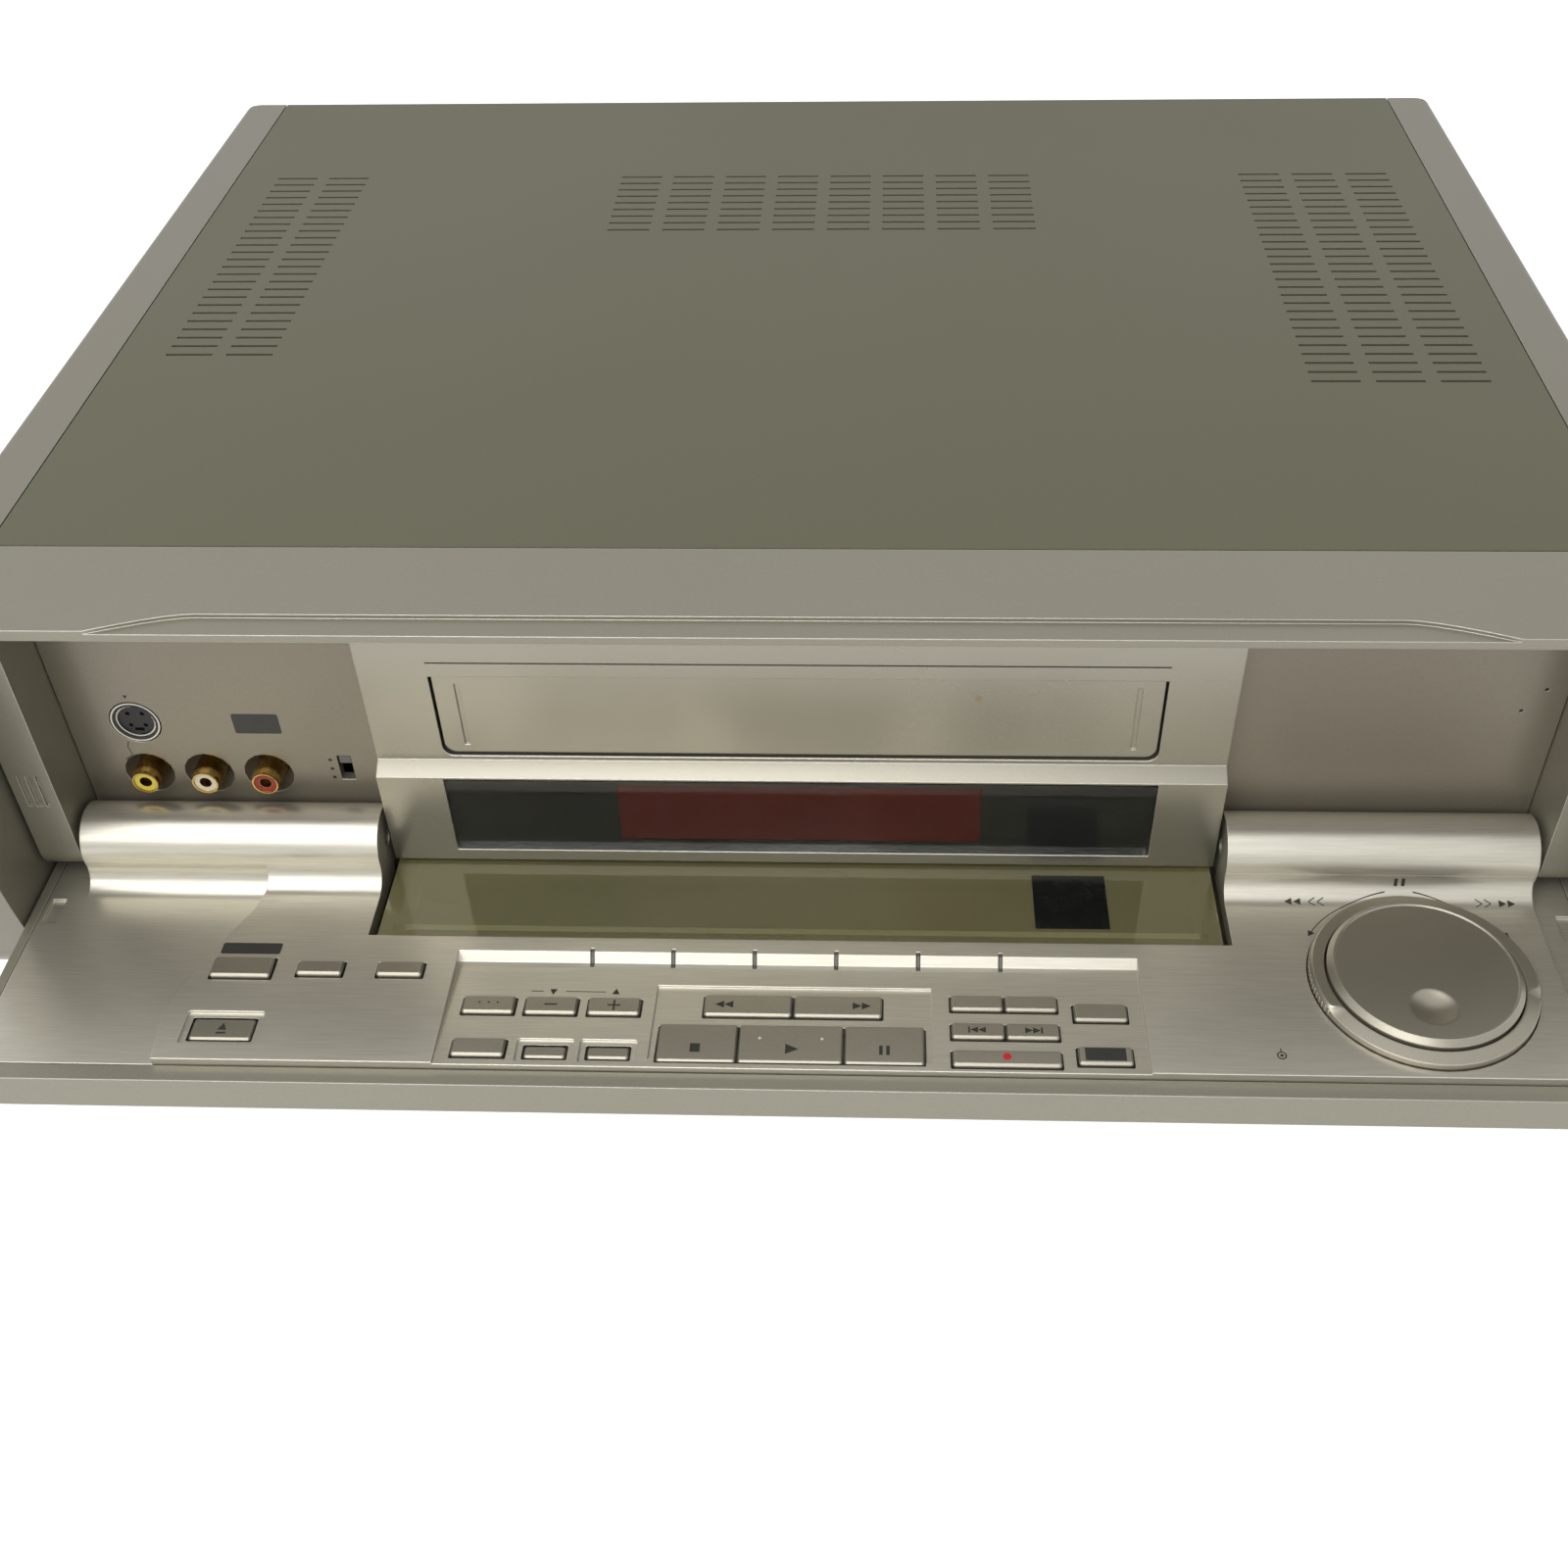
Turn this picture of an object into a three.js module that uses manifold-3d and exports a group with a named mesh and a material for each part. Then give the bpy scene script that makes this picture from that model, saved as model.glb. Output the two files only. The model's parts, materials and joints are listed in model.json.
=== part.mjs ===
// A video cassette recorder with its full-width control flap folded down.
// Millimetres, +Z up, the front faces -Y and +X is on the right seen from the front.
import * as THREE from "three";
import { mergeGeometries, mergeVertices } from "three/addons/utils/BufferGeometryUtils.js";
import Module from "manifold-3d";

const wasm = await Module();
wasm.setup();

// Overall sizes
const overallWidth = 462;
const overallHeight = 130;
const coverDepth = 307;
const footHeight = 15;
const sidePanelThickness = 15.5;

// Clearances
const seatGap = 0.3;
const panelGap = 0.5;
const hingeGap = 1.4;
const cutOverrun = 1;

// Sheet and wall thicknesses
const coverSheet = 1.2;
const chassisSheet = 1.2;
const mouldedWall = 2.5;
const thinWall = 1.6;

// Side panel: a long arc down the front, a round lower corner
const panelFrontRadius = 190;
const panelBulgeShare = 0.577;
const panelLowerCorner = 11;
const panelEdgeRadius = 2.4;
const panelRearCorner = 6;
const panelPocketDepth = 11;
const panelRim = 5;
const panelRibThickness = 2;
const panelRibCount = 4;

// Vent slots in the top cover
const slotLength = 14.5;
const slotWidth = 1.25;
const slotColumnPitch = 18.9;
const slotRowPitch = 5.5;
const slotRearSetback = 71.2;
const leftSlotColumns = 2;
const leftSlotRows = 25;
const leftSlotInset = 15.2;
const centreSlotColumns = 8;
const centreSlotRows = 9;
const rightSlotColumns = 3;
const rightSlotRows = 28;
const rightSlotInset = 14.6;
const coverRearFlange = 6;

// Brow over the front: a nearly flat ledge with a shallow scoop at its lip
const browDepth = 36.5;
const browDrop = 0.8;
const browLip = 3.2;
const browThickness = 4;
const scoopDepth = 1;
const scoopInset = 64.2;
const scoopSpread = 26.5;
const scoopRun = 7.2;

// Hinge line of the flap, shared by the pillars that hold its pins
const hingeReach = 27;
const hingePinRadius = 2;
const hingePinEngagement = 8;
const hingeRunningGap = 0.3;

// Recess behind the flap and its two pillars
const pillarWidth = 11.6;
const pillarSetback = 1;
const pillarReach = 34.5;
const pillarDrop = 7.9;
const pillarRound = 8;
const recessFace = 17;
const recessPanelRise = 4.3;
const recessPanelThickness = 3;
const recessFlange = 12;
const catchWidth = 6;
const catchHeight = 11;
const catchDepth = 0.8;
const catchRise = 23.5;
const catchRibWidth = 1.1;
const catchRibShare = 0.22;

// Skirt under the flap
const skirtReach = 45;
const skirtHeight = 5;
const skirtCorner = 3;
const skirtGap = 0.9;

// Fascia between the hinge barrels, with the display below and the cassette door above
const fasciaShare = 0.57;
const fasciaDrop = 6.9;
const ledgeBottomShare = 0.2978;
const ledgeTopShare = 0.3325;
const displayReach = 28;
const doorZoneReach = 23.5;
const fasciaWall = 3;

// Display window and the tube behind it
const windowSideMargin = 18.7;
const windowDrop = 2.8;
const windowTopShare = 0.2866;
const windowThickness = 2.4;
const windowCorner = 1.2;
const tubeShare = 0.517;
const tubeMargin = 2.8;
const tubeDepth = 7;
const sensorShare = 0.789;
const sensorWidth = 17.5;
const sensorMargin = 3.85;
const sensorDepth = 5;

// Cassette door and its pins
const doorSideMargin = 19.2;
const doorBottomShare = 0.3573;
const doorTopShare = 0.6824;
const doorThickness = 2.2;
const doorSetback = 1;
const doorGap = 0.6;
const doorLowerCorner = 3.2;
const doorPinRadius = 1.4;
const doorPinLength = 2.6;
const doorPinLift = 3.2;
const doorEarWidth = 1.5;
const doorEarOverlap = 5;
const doorSwingGap = 0.7;
const doorGrooveInset = 6.3;
const doorGrooveWidth = 1.4;
const doorGrooveDepth = 0.7;
const doorGrooveShare = 0.8;

// Round video socket in the left recessed panel, placed by its share of the panel's width and height
const superJackAcrossShare = 0.223;
const superJackUpShare = 0.4083;
const superJackRadius = 6.9;
const superJackDepth = 12;
const superRingInner = 5;
const superRingOuter = 5.6;
const superRingGroove = 0.6;
const superPinCircle = 2.9;
const superPinRadius = 0.7;
const superPinDepth = 5;
const superKeyWidth = 2.6;
const superKeyHeight = 1.2;

// Row of phono sockets, each in a round scoop
const phonoAcrossShare = 0.2135;
const phonoPitchShare = 0.1957;
const phonoUpShare = 0.1528;
const phonoRadius = 4.15;
const phonoRim = 0.5;
const phonoRimLength = 1.4;
const phonoReach = 4.6;
const phonoSeat = 7;
const phonoBore = 1.7;
const phonoBoreDepth = 8;
const phonoInsert = 3.3;
const phonoScoopRadius = 7;
const phonoBossMargin = 3;

// Slide switch at the inner end of the panel
const switchAcrossShare = 0.862;
const switchSlotWidth = 4;
const switchBottomShare = 0.125;
const switchTopShare = 0.2472;
const switchKnobWidth = 3.2;
const switchKnobHeight = 3;
const switchKnobProud = 0.8;
const switchPlateMargin = 1.6;

// Two pinholes in the right recessed panel
const pinholeRadius = 0.6;
const pinholeShares = [
  [0.927, 0.6139],
  [0.8705, 0.5139],
];

// Chassis pan, rear panel and feet
const rearPanelInset = 4;
const panWall = 14;
const footRadius = 21;
const footTopRadius = 23;
const footPadDepth = 2;
const footPadRadius = 17;
const footInset = 44;
const footFrontY = 32;
const footRearY = 262;

// Flap: outer shell with an arc below and a round tail behind the hinge
const flapSideGap = 0.8;
const flapTopGap = 1.5;
const flapWall = 2.6;
const flapInset = 1;
const flapDepth = 28.5;
const flapTailGap = 0.4;
const flapTailTop = 8.5;
const flapTailStart = 10;
const flapSteps = 14;
const flapTailSteps = 6;

// Inner panel of the flap: a land, a raised plate and two hinge barrels
const landDepth = 10;
const raisedStep = 2.5;
const panelThickness = 2.5;
const panelSide = 2.6;
const plateFrontStrip = 5.1;
const plateRightInset = 0.5;
const barrelRadius = 10;
const barrelInnerGap = 1.5;
const barrelOuterGap = 1.6;
const filletRadius = 6.4;
const catchPocketWidth = 4;
const catchPocketInset = 1.2;
const catchPocketLength = 9.1;
const catchPocketRear = 15.8;
const catchPocketDepth = 1;

// Window of the flap: a tunnel with an inner sheet and an outer sheet
const flapWindowSideGap = 2.3;
const flapWindowFrontShare = 0.38;
const flapWindowRear = 4;
const flapWindowSheet = 2;
const flapWindowLip = 3;
const windowSetback = 0.5;

// S-shaped left edge of the raised plate, in shares of its depth and of its widest swing
const plateLeftMostShare = 0.8194;
const plateLeftRootShare = 0.7428;
const plateEdgeSteps = 14;
const plateEdgeShares = [
  [0, 0],
  [0.17, 0.1],
  [0.33, 0.42],
  [0.48, 0.66],
  [0.6, 0.86],
  [0.72, 1],
  [0.84, 0.98],
  [1, 0.92],
];

// Tray with the transport keys
const trayShare = 0.778;
const trayRearShare = 0.449;
const traySlopeRun = 3.6;
const trayRearDepth = 3;
const trayFrontDepth = 0.6;
const blockShare = 0.398;
const blockRearShare = 0.2474;
const blockFrontShare = 0.9245;
const blockSunk = 0.8;

// Keys
const keyClearance = 0.4;
const keyRise = 1.4;
const keyFlange = 1.2;
const keyFlangeThickness = 1;
const keyStem = 3;
const keyStemWidth = 3;
const keyChamfer = 0.5;
const keyCorner = 0.8;
const pairGap = 0.5;
const hoodMargin = 2;
const hoodDepth = 1;
const hoodedRise = 0.4;

// Key widths as shares of the tray's half width, key depths as shares of the tray's depth
const smallKeyWidthShare = 0.1505;
const smallKeyDepthShare = 0.148;
const slimKeyWidthShare = 0.1187;
const slimKeyDepthShare = 0.099;
const searchKeyWidthShare = 0.2527;
const searchKeyDepthShare = 0.185;
const playKeyWidthShare = 0.2934;
const sideKeyWidthShare = 0.2231;
const transportKeyDepthShare = 0.323;
const markKeyWidthShare = 0.1484;
const markKeyDepthShare = 0.13;
const powerKeyDepthShare = 0.18;
const plateKeyDepthShare = 0.125;

// Keys by name, with the shares of the tray's half width and of its depth that place them
const rowOneShare = 0.472;
const rowTwoShare = 0.862;
const smallKeyShares = [
  ["key_navigation", -0.878, rowOneShare],
  ["key_minus", -0.697, rowOneShare],
  ["key_plus", -0.514, rowOneShare],
  ["key_ok", -0.878, rowTwoShare],
  ["key_format", 0.877, rowOneShare],
  ["key_speed", 0.877, rowTwoShare],
];
const slimKeyShares = [
  ["key_menu", -0.692, rowTwoShare],
  ["key_cancel", -0.513, rowTwoShare],
];
const markColumnShare = 0.604;
const markRowShares = [0.398, 0.654];
const recordRowShare = 0.898;
const searchRowShare = 0.432;
const transportRowShare = 0.784;

// Keys on the raised plate, by shares of the barrels' outer end and of the flap's reach
const plateKeyRowShare = 0.5461;
const ejectKeyRowShare = 0.8028;
const powerKeyShare = 0.7363;
const timerKeyShare = 0.6313;
const displayKeyShare = 0.5239;
const powerKeyWidthShare = 0.0811;
const plateKeyWidthShare = 0.0607;

// Jog dial inside a shuttle ring, in a round well
const dialAcrossShare = 0.8179;
const dialForwardShare = 0.5373;
const ringShare = 0.3691;
const ringWidth = 3.8;
const ringRise = 3;
const ringBevelRise = 1.4;
const ringBevelRun = 2.4;
const ringSides = 48;
const jogMargin = 4.2;
const jogRise = 5.2;
const jogBevel = 1.6;
const jogDish = 0.3;
const jogRim = 0.8;
const dimpleShare = 0.234;
const dimpleOffsetShare = 0.504;
const dimpleDepth = 1.6;
const spindleRadius = 3;
const spindleGap = 0.15;
const spindleRise = 1.5;
const encoderMargin = 1.2;
const encoderDepth = 3.5;

// Indicator slots along the tray's rear edge, and the bar of light guides under them
const indicatorPitchShare = 0.2407;
const indicatorWidth = 1.1;
const indicatorRearShare = 0.4324;
const indicatorLength = 4.3;
const indicatorCount = 6;
const indicatorGap = 0.2;
const guideBarDepth = 1.6;
const guideBarMargin = 1.4;

// Rear sockets, reaching a little past the cover
const rearJackReach = 8;
const rearBlockDepth = 12;
const rearBlockUpShare = 0.4615;
const rearBlockWidth = 122;
const rearBlockHeight = 46;
const rearBlockProud = 1.6;
const rearJackColumns = 7;
const rearJackRows = 2;
const rearJackPitchX = 16.5;
const rearJackPitchZ = 20;

// Power inlet
const inletAcrossShare = 0.7273;
const inletUpShare = 0.3692;
const inletWidth = 24;
const inletHeight = 18;
const inletFlange = 3;
const inletProud = 2;
const inletDepth = 16;
const inletCavityDepth = 12;
const inletPinRadius = 1.2;
const inletPinSpacing = 7;
const inletPinLength = 9;
const inletCorner = 3;

// Aerial terminals
const antennaAcrossShare = -0.7273;
const antennaUpShare = 0.7077;
const antennaPitch = 20;
const antennaRadius = 4.7;
const antennaBore = 1.2;
const antennaBaseWidth = 22;
const antennaBaseHeight = 46;
const antennaDepth = 18;
const antennaReach = 7;

// Cassette and its carriage
const cassetteWidth = 188;
const cassetteLength = 104;
const cassetteHeight = 25;
const cassetteGap = 0.8;
const carriageSheet = 1.2;
const carriageFront = 12.5;
const carriageShelf = 22;
const carriageBridge = 18;
const carriageLipShare = 0.3;
const guidePinRadius = 2;
const guidePinReach = 3;
const guidePinGap = 0.4;
const guidePinShares = [0.2, 0.8];

// Tape deck under the carriage
const deckTopShare = 0.3346;
const deckSheet = 1.5;
const deckHalfWidth = 104;
const deckFront = 14;
const deckRear = 208;
const deckSideGap = 1.6;
const deckSideMargin = 6;
const deckSideFront = 16;
const deckSideRear = 112;
const carriageDrop = 28;
const deckLegRadius = 4;
const deckLegInset = 8;
const reelSpacing = 92;
const reelY = 66;
const reelRadius = 12;
const reelHubRadius = 3.6;
const reelHeight = 3;
const reelHubHeight = 11;
const capstanX = 48;
const capstanY = 132;
const capstanRadius = 1.5;
const capstanHeight = 26;
const postRadius = 3;
const postHeight = 22;
const postReach = 44;

// Head drum: a fixed lower half on the deck and a spinning upper half
const drumY = 164;
const drumRadius = 31;
const drumTilt = 6;
const drumLowerHeight = 14;
const drumUpperHeight = 11;
const drumGap = 0.4;
const drumBevel = 1;
const drumWellRadius = 24;
const drumWellDepth = 4;
const drumFootDrop = 6;
const drumShaftRadius = 3;

// Main board on its legs, with parts of the power supply
const boardLift = 14;
const boardSheet = 1.6;
const boardInnerGap = 8;
const boardSideGap = 4;
const boardFront = 22;
const boardRearGap = 18;
const boardCrossDepth = 66;
const boardLegRadius = 2.5;
const boardLegInset = 6;
const coreWidth = 46;
const coreDepth = 52;
const coreHeight = 44;
const coilInset = 7;
const coreInset = 9.5;
const coreY = 70;
const capacitorRadius = 9;
const capacitorHeight = 30;
const capacitorPitchShare = 0.218;
const capacitorCount = 4;
const capacitorRow = 118;
const sinkShare = 0.83;
const sinkHeight = 38;
const sinkThickness = 2;
const sinkFinDepth = 10;
const sinkFinCount = 6;
const sinkRow = 140;
const tunerWidth = 44;
const tunerDepth = 30;
const tunerHeight = 30;
const chipSize = 18;
const chipHeight = 2.4;
const chipPitch = 32;
const chipCount = 5;

const X = new THREE.Vector3(1, 0, 0);
const Y = new THREE.Vector3(0, 1, 0);
const Z = new THREE.Vector3(0, 0, 1);

// Widths that follow from the sizes above
const halfWidth = overallWidth / 2;
const panelInner = halfWidth - sidePanelThickness;
const coverHalf = panelInner - panelGap;
const bezelHalf = panelInner - seatGap;
const recessHalfWidth = bezelHalf - pillarSetback - pillarWidth;
const fasciaHalfWidth = fasciaShare * recessHalfWidth;
const recessWidth = recessHalfWidth - fasciaHalfWidth;
const windowHalfWidth = fasciaHalfWidth - windowSideMargin;
const tubeHalfWidth = tubeShare * windowHalfWidth;
const sensorOffset = sensorShare * windowHalfWidth;
const doorHalfWidth = fasciaHalfWidth - doorSideMargin;
const doorGrooveOffset = doorHalfWidth - doorGrooveInset;
const scoopHalfWidth = bezelHalf - scoopInset;
const panHalf = coverHalf - coverSheet - seatGap;

// Levels and depths that follow
const rearPanelY = coverDepth - rearPanelInset;
const doorZoneTop = overallHeight - browThickness;
const panelBulgeHeight = panelBulgeShare * overallHeight;
const hingeHeight = footHeight + skirtHeight + skirtGap + flapDepth;
const frontHeight = overallHeight - hingeHeight;
const flapTailRadius = hingeReach - flapTailGap;
const panelFrontReach = hingeReach + flapDepth + flapInset;
const pillarBottom = hingeHeight - pillarDrop;
const fasciaBottom = hingeHeight - fasciaDrop;
const windowBottom = hingeHeight - windowDrop;
const windowTop = hingeHeight + windowTopShare * frontHeight;
const ledgeBottom = hingeHeight + ledgeBottomShare * frontHeight;
const ledgeTop = hingeHeight + ledgeTopShare * frontHeight;
const doorBottom = hingeHeight + doorBottomShare * frontHeight;
const doorTop = hingeHeight + doorTopShare * frontHeight;
const recessPanelBottom = hingeHeight + recessPanelRise;
const recessTop = doorZoneTop - seatGap;
const recessHeight = recessTop - recessPanelBottom;

// A closed geometry becomes a solid that can be joined and cut.
function solid(geometry) {
  geometry.deleteAttribute("normal");
  geometry.deleteAttribute("uv");
  const merged = mergeVertices(geometry, 1e-5);
  return new wasm.Manifold(
    new wasm.Mesh({
      numProp: 3,
      vertProperties: merged.attributes.position.array,
      triVerts: new Uint32Array(merged.index.array),
    }),
  );
}

function join(pieces) {
  return pieces.reduce((all, piece) => all.add(piece));
}

function cut(body, tools) {
  return tools.reduce((left, tool) => left.subtract(tool), body);
}

function block(x0, x1, y0, y1, z0, z1) {
  const box = new THREE.BoxGeometry(x1 - x0, y1 - y0, z1 - z0);
  return solid(box.translate((x0 + x1) / 2, (y0 + y1) / 2, (z0 + z1) / 2));
}

function extruded(shape, depth, bevel, arcSteps) {
  return new THREE.ExtrudeGeometry(shape, {
    depth: depth - 2 * bevel,
    bevelEnabled: bevel > 0,
    bevelThickness: bevel,
    bevelSize: bevel,
    bevelOffset: -bevel,
    bevelSegments: 1,
    curveSegments: arcSteps,
  }).translate(0, 0, bevel);
}

// An outline in (y, z) carried along x
function alongX(shape, x0, x1, arcSteps = 8) {
  const turn = new THREE.Matrix4().makeBasis(Y, Z, X);
  return solid(extruded(shape, x1 - x0, 0, arcSteps).applyMatrix4(turn).translate(x0, 0, 0));
}

// An outline in (x, z) carried along y
function alongY(shape, y0, y1, arcSteps = 8, bevel = 0) {
  const turn = new THREE.Matrix4().makeBasis(X, Z, Y.clone().negate());
  return solid(extruded(shape, y1 - y0, bevel, arcSteps).applyMatrix4(turn).translate(0, y1, 0));
}

// An outline in (x, y) carried up z
function alongZ(shape, z0, z1, arcSteps = 8, bevel = 0) {
  return solid(extruded(shape, z1 - z0, bevel, arcSteps).translate(0, 0, z0));
}

function outline(points) {
  return new THREE.Shape(points.map(([a, b]) => new THREE.Vector2(a, b)));
}

function roundedRectangle(u, v, width, height, radius) {
  const u0 = u - width / 2;
  const u1 = u + width / 2;
  const v0 = v - height / 2;
  const v1 = v + height / 2;
  const shape = new THREE.Shape();
  shape.moveTo(u0 + radius, v0);
  shape.lineTo(u1 - radius, v0);
  shape.absarc(u1 - radius, v0 + radius, radius, -Math.PI / 2, 0);
  shape.lineTo(u1, v1 - radius);
  shape.absarc(u1 - radius, v1 - radius, radius, 0, Math.PI / 2);
  shape.lineTo(u0 + radius, v1);
  shape.absarc(u0 + radius, v1 - radius, radius, Math.PI / 2, Math.PI);
  shape.lineTo(u0, v0 + radius);
  shape.absarc(u0 + radius, v0 + radius, radius, Math.PI, 1.5 * Math.PI);
  return shape;
}

// A profile of (radius, height) pairs, from bottom to top, spun about z at a place
function spun(profile, x, y, z, sides = 24) {
  const points = profile.map(([r, h]) => new THREE.Vector2(r, h));
  return solid(new THREE.LatheGeometry(points, sides).rotateX(Math.PI / 2).translate(x, y, z));
}

// The same profile spun about an axis that points to the front
function spunForward(profile, x, y, z, sides = 24) {
  const points = profile.map(([r, h]) => new THREE.Vector2(r, h));
  return solid(new THREE.LatheGeometry(points, sides).rotateX(Math.PI).translate(x, y, z));
}

// A round bar along x
function barX(radius, x0, x1, y, z, sides = 24) {
  const bar = new THREE.CylinderGeometry(radius, radius, x1 - x0, sides).rotateZ(Math.PI / 2);
  return solid(bar.translate((x0 + x1) / 2, y, z));
}

// A round bar along y
function barY(radius, x, y0, y1, z, sides = 24) {
  const bar = new THREE.CylinderGeometry(radius, radius, y1 - y0, sides);
  return solid(bar.translate(x, (y0 + y1) / 2, z));
}

// A round post along z
function post(radius, x, y, z0, z1, sides = 24) {
  const bar = new THREE.CylinderGeometry(radius, radius, z1 - z0, sides).rotateX(Math.PI / 2);
  return solid(bar.translate(x, y, (z0 + z1) / 2));
}

function mirrored(body) {
  return body.mirror([1, 0, 0]);
}

function finish(color, roughness, metalness, opacity = 1) {
  return { color, roughness, metalness, opacity, transparent: opacity < 1 };
}

const finishes = {
  coverPaint: finish(0x6f6d5b, 0.62, 0.2),
  panelPaint: finish(0x928d7f, 0.45, 0.35),
  champagne: finish(0x8e897b, 0.38, 0.5),
  fasciaSilver: finish(0xaaa596, 0.35, 0.55),
  recessPaint: finish(0x87826e, 0.5, 0.3),
  satinMetal: finish(0xa39e90, 0.28, 0.8),
  keySilver: finish(0xa8a395, 0.3, 0.6),
  darkGlass: finish(0x15181a, 0.08, 0, 0.85),
  oliveGlass: finish(0x6b6740, 0.1, 0, 0.6),
  redFilter: finish(0x4a0d0d, 0.15, 0),
  blackPlastic: finish(0x141414, 0.5, 0),
  greyPlastic: finish(0x4a4a48, 0.55, 0),
  zincSteel: finish(0xa9abaa, 0.4, 0.85),
  blackSteel: finish(0x26282a, 0.55, 0.5),
  gold: finish(0xb08d45, 0.25, 0.9),
  greenBoard: finish(0x2f5a34, 0.5, 0.05),
  clearPlastic: finish(0xd9d7cc, 0.2, 0, 0.7),
  polishedMetal: finish(0xc9cac8, 0.12, 0.95),
  rubber: finish(0x1c1c1c, 0.85, 0),
};

const recorder = new THREE.Group();

// A named piece of the recorder, made of one solid, in the group that carries it
function piece(name, body, finishName, group) {
  const made = body.getMesh();
  const geometry = new THREE.BufferGeometry();
  geometry.setAttribute("position", new THREE.BufferAttribute(made.vertProperties, 3));
  geometry.setIndex(new THREE.BufferAttribute(made.triVerts, 1));
  geometry.computeVertexNormals();
  const mesh = new THREE.Mesh(geometry, new THREE.MeshStandardMaterial(finishes[finishName]));
  mesh.name = name;
  group.add(mesh);
  return mesh;
}

// Housing: everything here is fixed and stands on the feet
const housing = new THREE.Group();
recorder.add(housing);

// One group of vent slots as cutting blocks, from its first column and its rearmost row
function ventSlots(firstX, columns, rows) {
  const slots = [];
  for (let column = 0; column < columns; column += 1) {
    for (let row = 0; row < rows; row += 1) {
      const x = firstX + column * slotColumnPitch + slotLength / 2;
      const y = coverDepth - slotRearSetback - row * slotRowPitch;
      const slot = new THREE.BoxGeometry(slotLength, slotWidth, coverSheet + 2 * cutOverrun);
      slots.push(slot.translate(x, y, overallHeight - coverSheet / 2));
    }
  }
  return slots;
}

// The top cover is one folded sheet: a slotted top, two sides and a rear flange.
function makeTopCover() {
  const groupWidth = (columns) => (columns - 1) * slotColumnPitch + slotLength;
  const rightFirst = coverHalf - rightSlotInset - groupWidth(rightSlotColumns);
  const slots = solid(
    mergeGeometries([
      ...ventSlots(-coverHalf + leftSlotInset, leftSlotColumns, leftSlotRows),
      ...ventSlots(-groupWidth(centreSlotColumns) / 2, centreSlotColumns, centreSlotRows),
      ...ventSlots(rightFirst, rightSlotColumns, rightSlotRows),
    ]),
  );
  const under = overallHeight - coverSheet;
  const sheet = block(-coverHalf, coverHalf, 0, coverDepth, under, overallHeight);
  const sideBottom = footHeight + chassisSheet + seatGap;
  const side = block(coverHalf - coverSheet, coverHalf, 0, coverDepth, sideBottom, under);
  const rear = block(
    -coverHalf,
    coverHalf,
    coverDepth - coverSheet,
    coverDepth,
    under - coverRearFlange,
    under,
  );
  return cut(join([sheet, side, mirrored(side), rear]), [slots]);
}
piece("top_cover", makeTopCover(), "coverPaint", housing);

// The front arc of a side panel, as y for a height z
function panelFrontY(z) {
  const rise = z - panelBulgeHeight;
  return -panelFrontReach + panelFrontRadius - Math.sqrt(panelFrontRadius ** 2 - rise ** 2);
}

function makeSidePanel() {
  const shape = new THREE.Shape();
  const below = panelBulgeHeight - footHeight - panelLowerCorner;
  const above = overallHeight - panelEdgeRadius - panelBulgeHeight;
  const startAngle = Math.PI + Math.asin(below / panelFrontRadius);
  const endAngle = Math.PI - Math.asin(above / panelFrontRadius);
  const arcFoot = panelFrontY(footHeight + panelLowerCorner);
  const arcHead = panelFrontY(overallHeight - panelEdgeRadius);
  shape.moveTo(coverDepth, footHeight);
  shape.lineTo(coverDepth, overallHeight);
  const headY = arcHead + panelEdgeRadius;
  const headZ = overallHeight - panelEdgeRadius;
  shape.lineTo(headY, overallHeight);
  shape.absarc(headY, headZ, panelEdgeRadius, Math.PI / 2, Math.PI);
  shape.absarc(
    panelFrontRadius - panelFrontReach,
    panelBulgeHeight,
    panelFrontRadius,
    endAngle,
    startAngle,
  );
  const cornerY = arcFoot + panelLowerCorner;
  shape.absarc(cornerY, footHeight + panelLowerCorner, panelLowerCorner, Math.PI, 1.5 * Math.PI);
  const slab = alongX(shape, panelInner, halfWidth, 7);

  // Seen from the front the outer top edge is round, and from above the rear corner is.
  const section = new THREE.Shape();
  section.moveTo(panelInner, footHeight);
  section.lineTo(halfWidth, footHeight);
  section.lineTo(halfWidth, headZ);
  section.absarc(halfWidth - panelEdgeRadius, headZ, panelEdgeRadius, 0, Math.PI / 2);
  section.lineTo(panelInner, overallHeight);
  const edged = alongY(section, -panelFrontReach - cutOverrun, coverDepth, 3);
  const plan = new THREE.Shape();
  plan.moveTo(panelInner, -panelFrontReach - cutOverrun);
  plan.lineTo(halfWidth, -panelFrontReach - cutOverrun);
  const rearTurn = coverDepth - panelRearCorner;
  plan.lineTo(halfWidth, rearTurn);
  plan.absarc(halfWidth - panelRearCorner, rearTurn, panelRearCorner, 0, Math.PI / 2);
  plan.lineTo(panelInner, coverDepth);
  const cornered = alongZ(plan, footHeight, overallHeight, 4);

  // The hidden inner face is hollowed between ribs, as a moulded cheek is.
  const pockets = [];
  const pocketRun = coverDepth - 2 * panelRim;
  const pitch = pocketRun / (panelRibCount + 1);
  for (let bay = 0; bay <= panelRibCount; bay += 1) {
    const y0 = panelRim + bay * pitch + (bay > 0 ? panelRibThickness / 2 : 0);
    const y1 = panelRim + (bay + 1) * pitch - (bay < panelRibCount ? panelRibThickness / 2 : 0);
    pockets.push(
      block(
        panelInner - cutOverrun,
        panelInner + panelPocketDepth,
        y0,
        y1,
        footHeight + panelRim,
        overallHeight - panelRim,
      ),
    );
  }
  return cut(slab.intersect(edged).intersect(cornered), pockets);
}
const sidePanel = makeSidePanel();
piece("side_panel_right", sidePanel, "panelPaint", housing);
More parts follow.
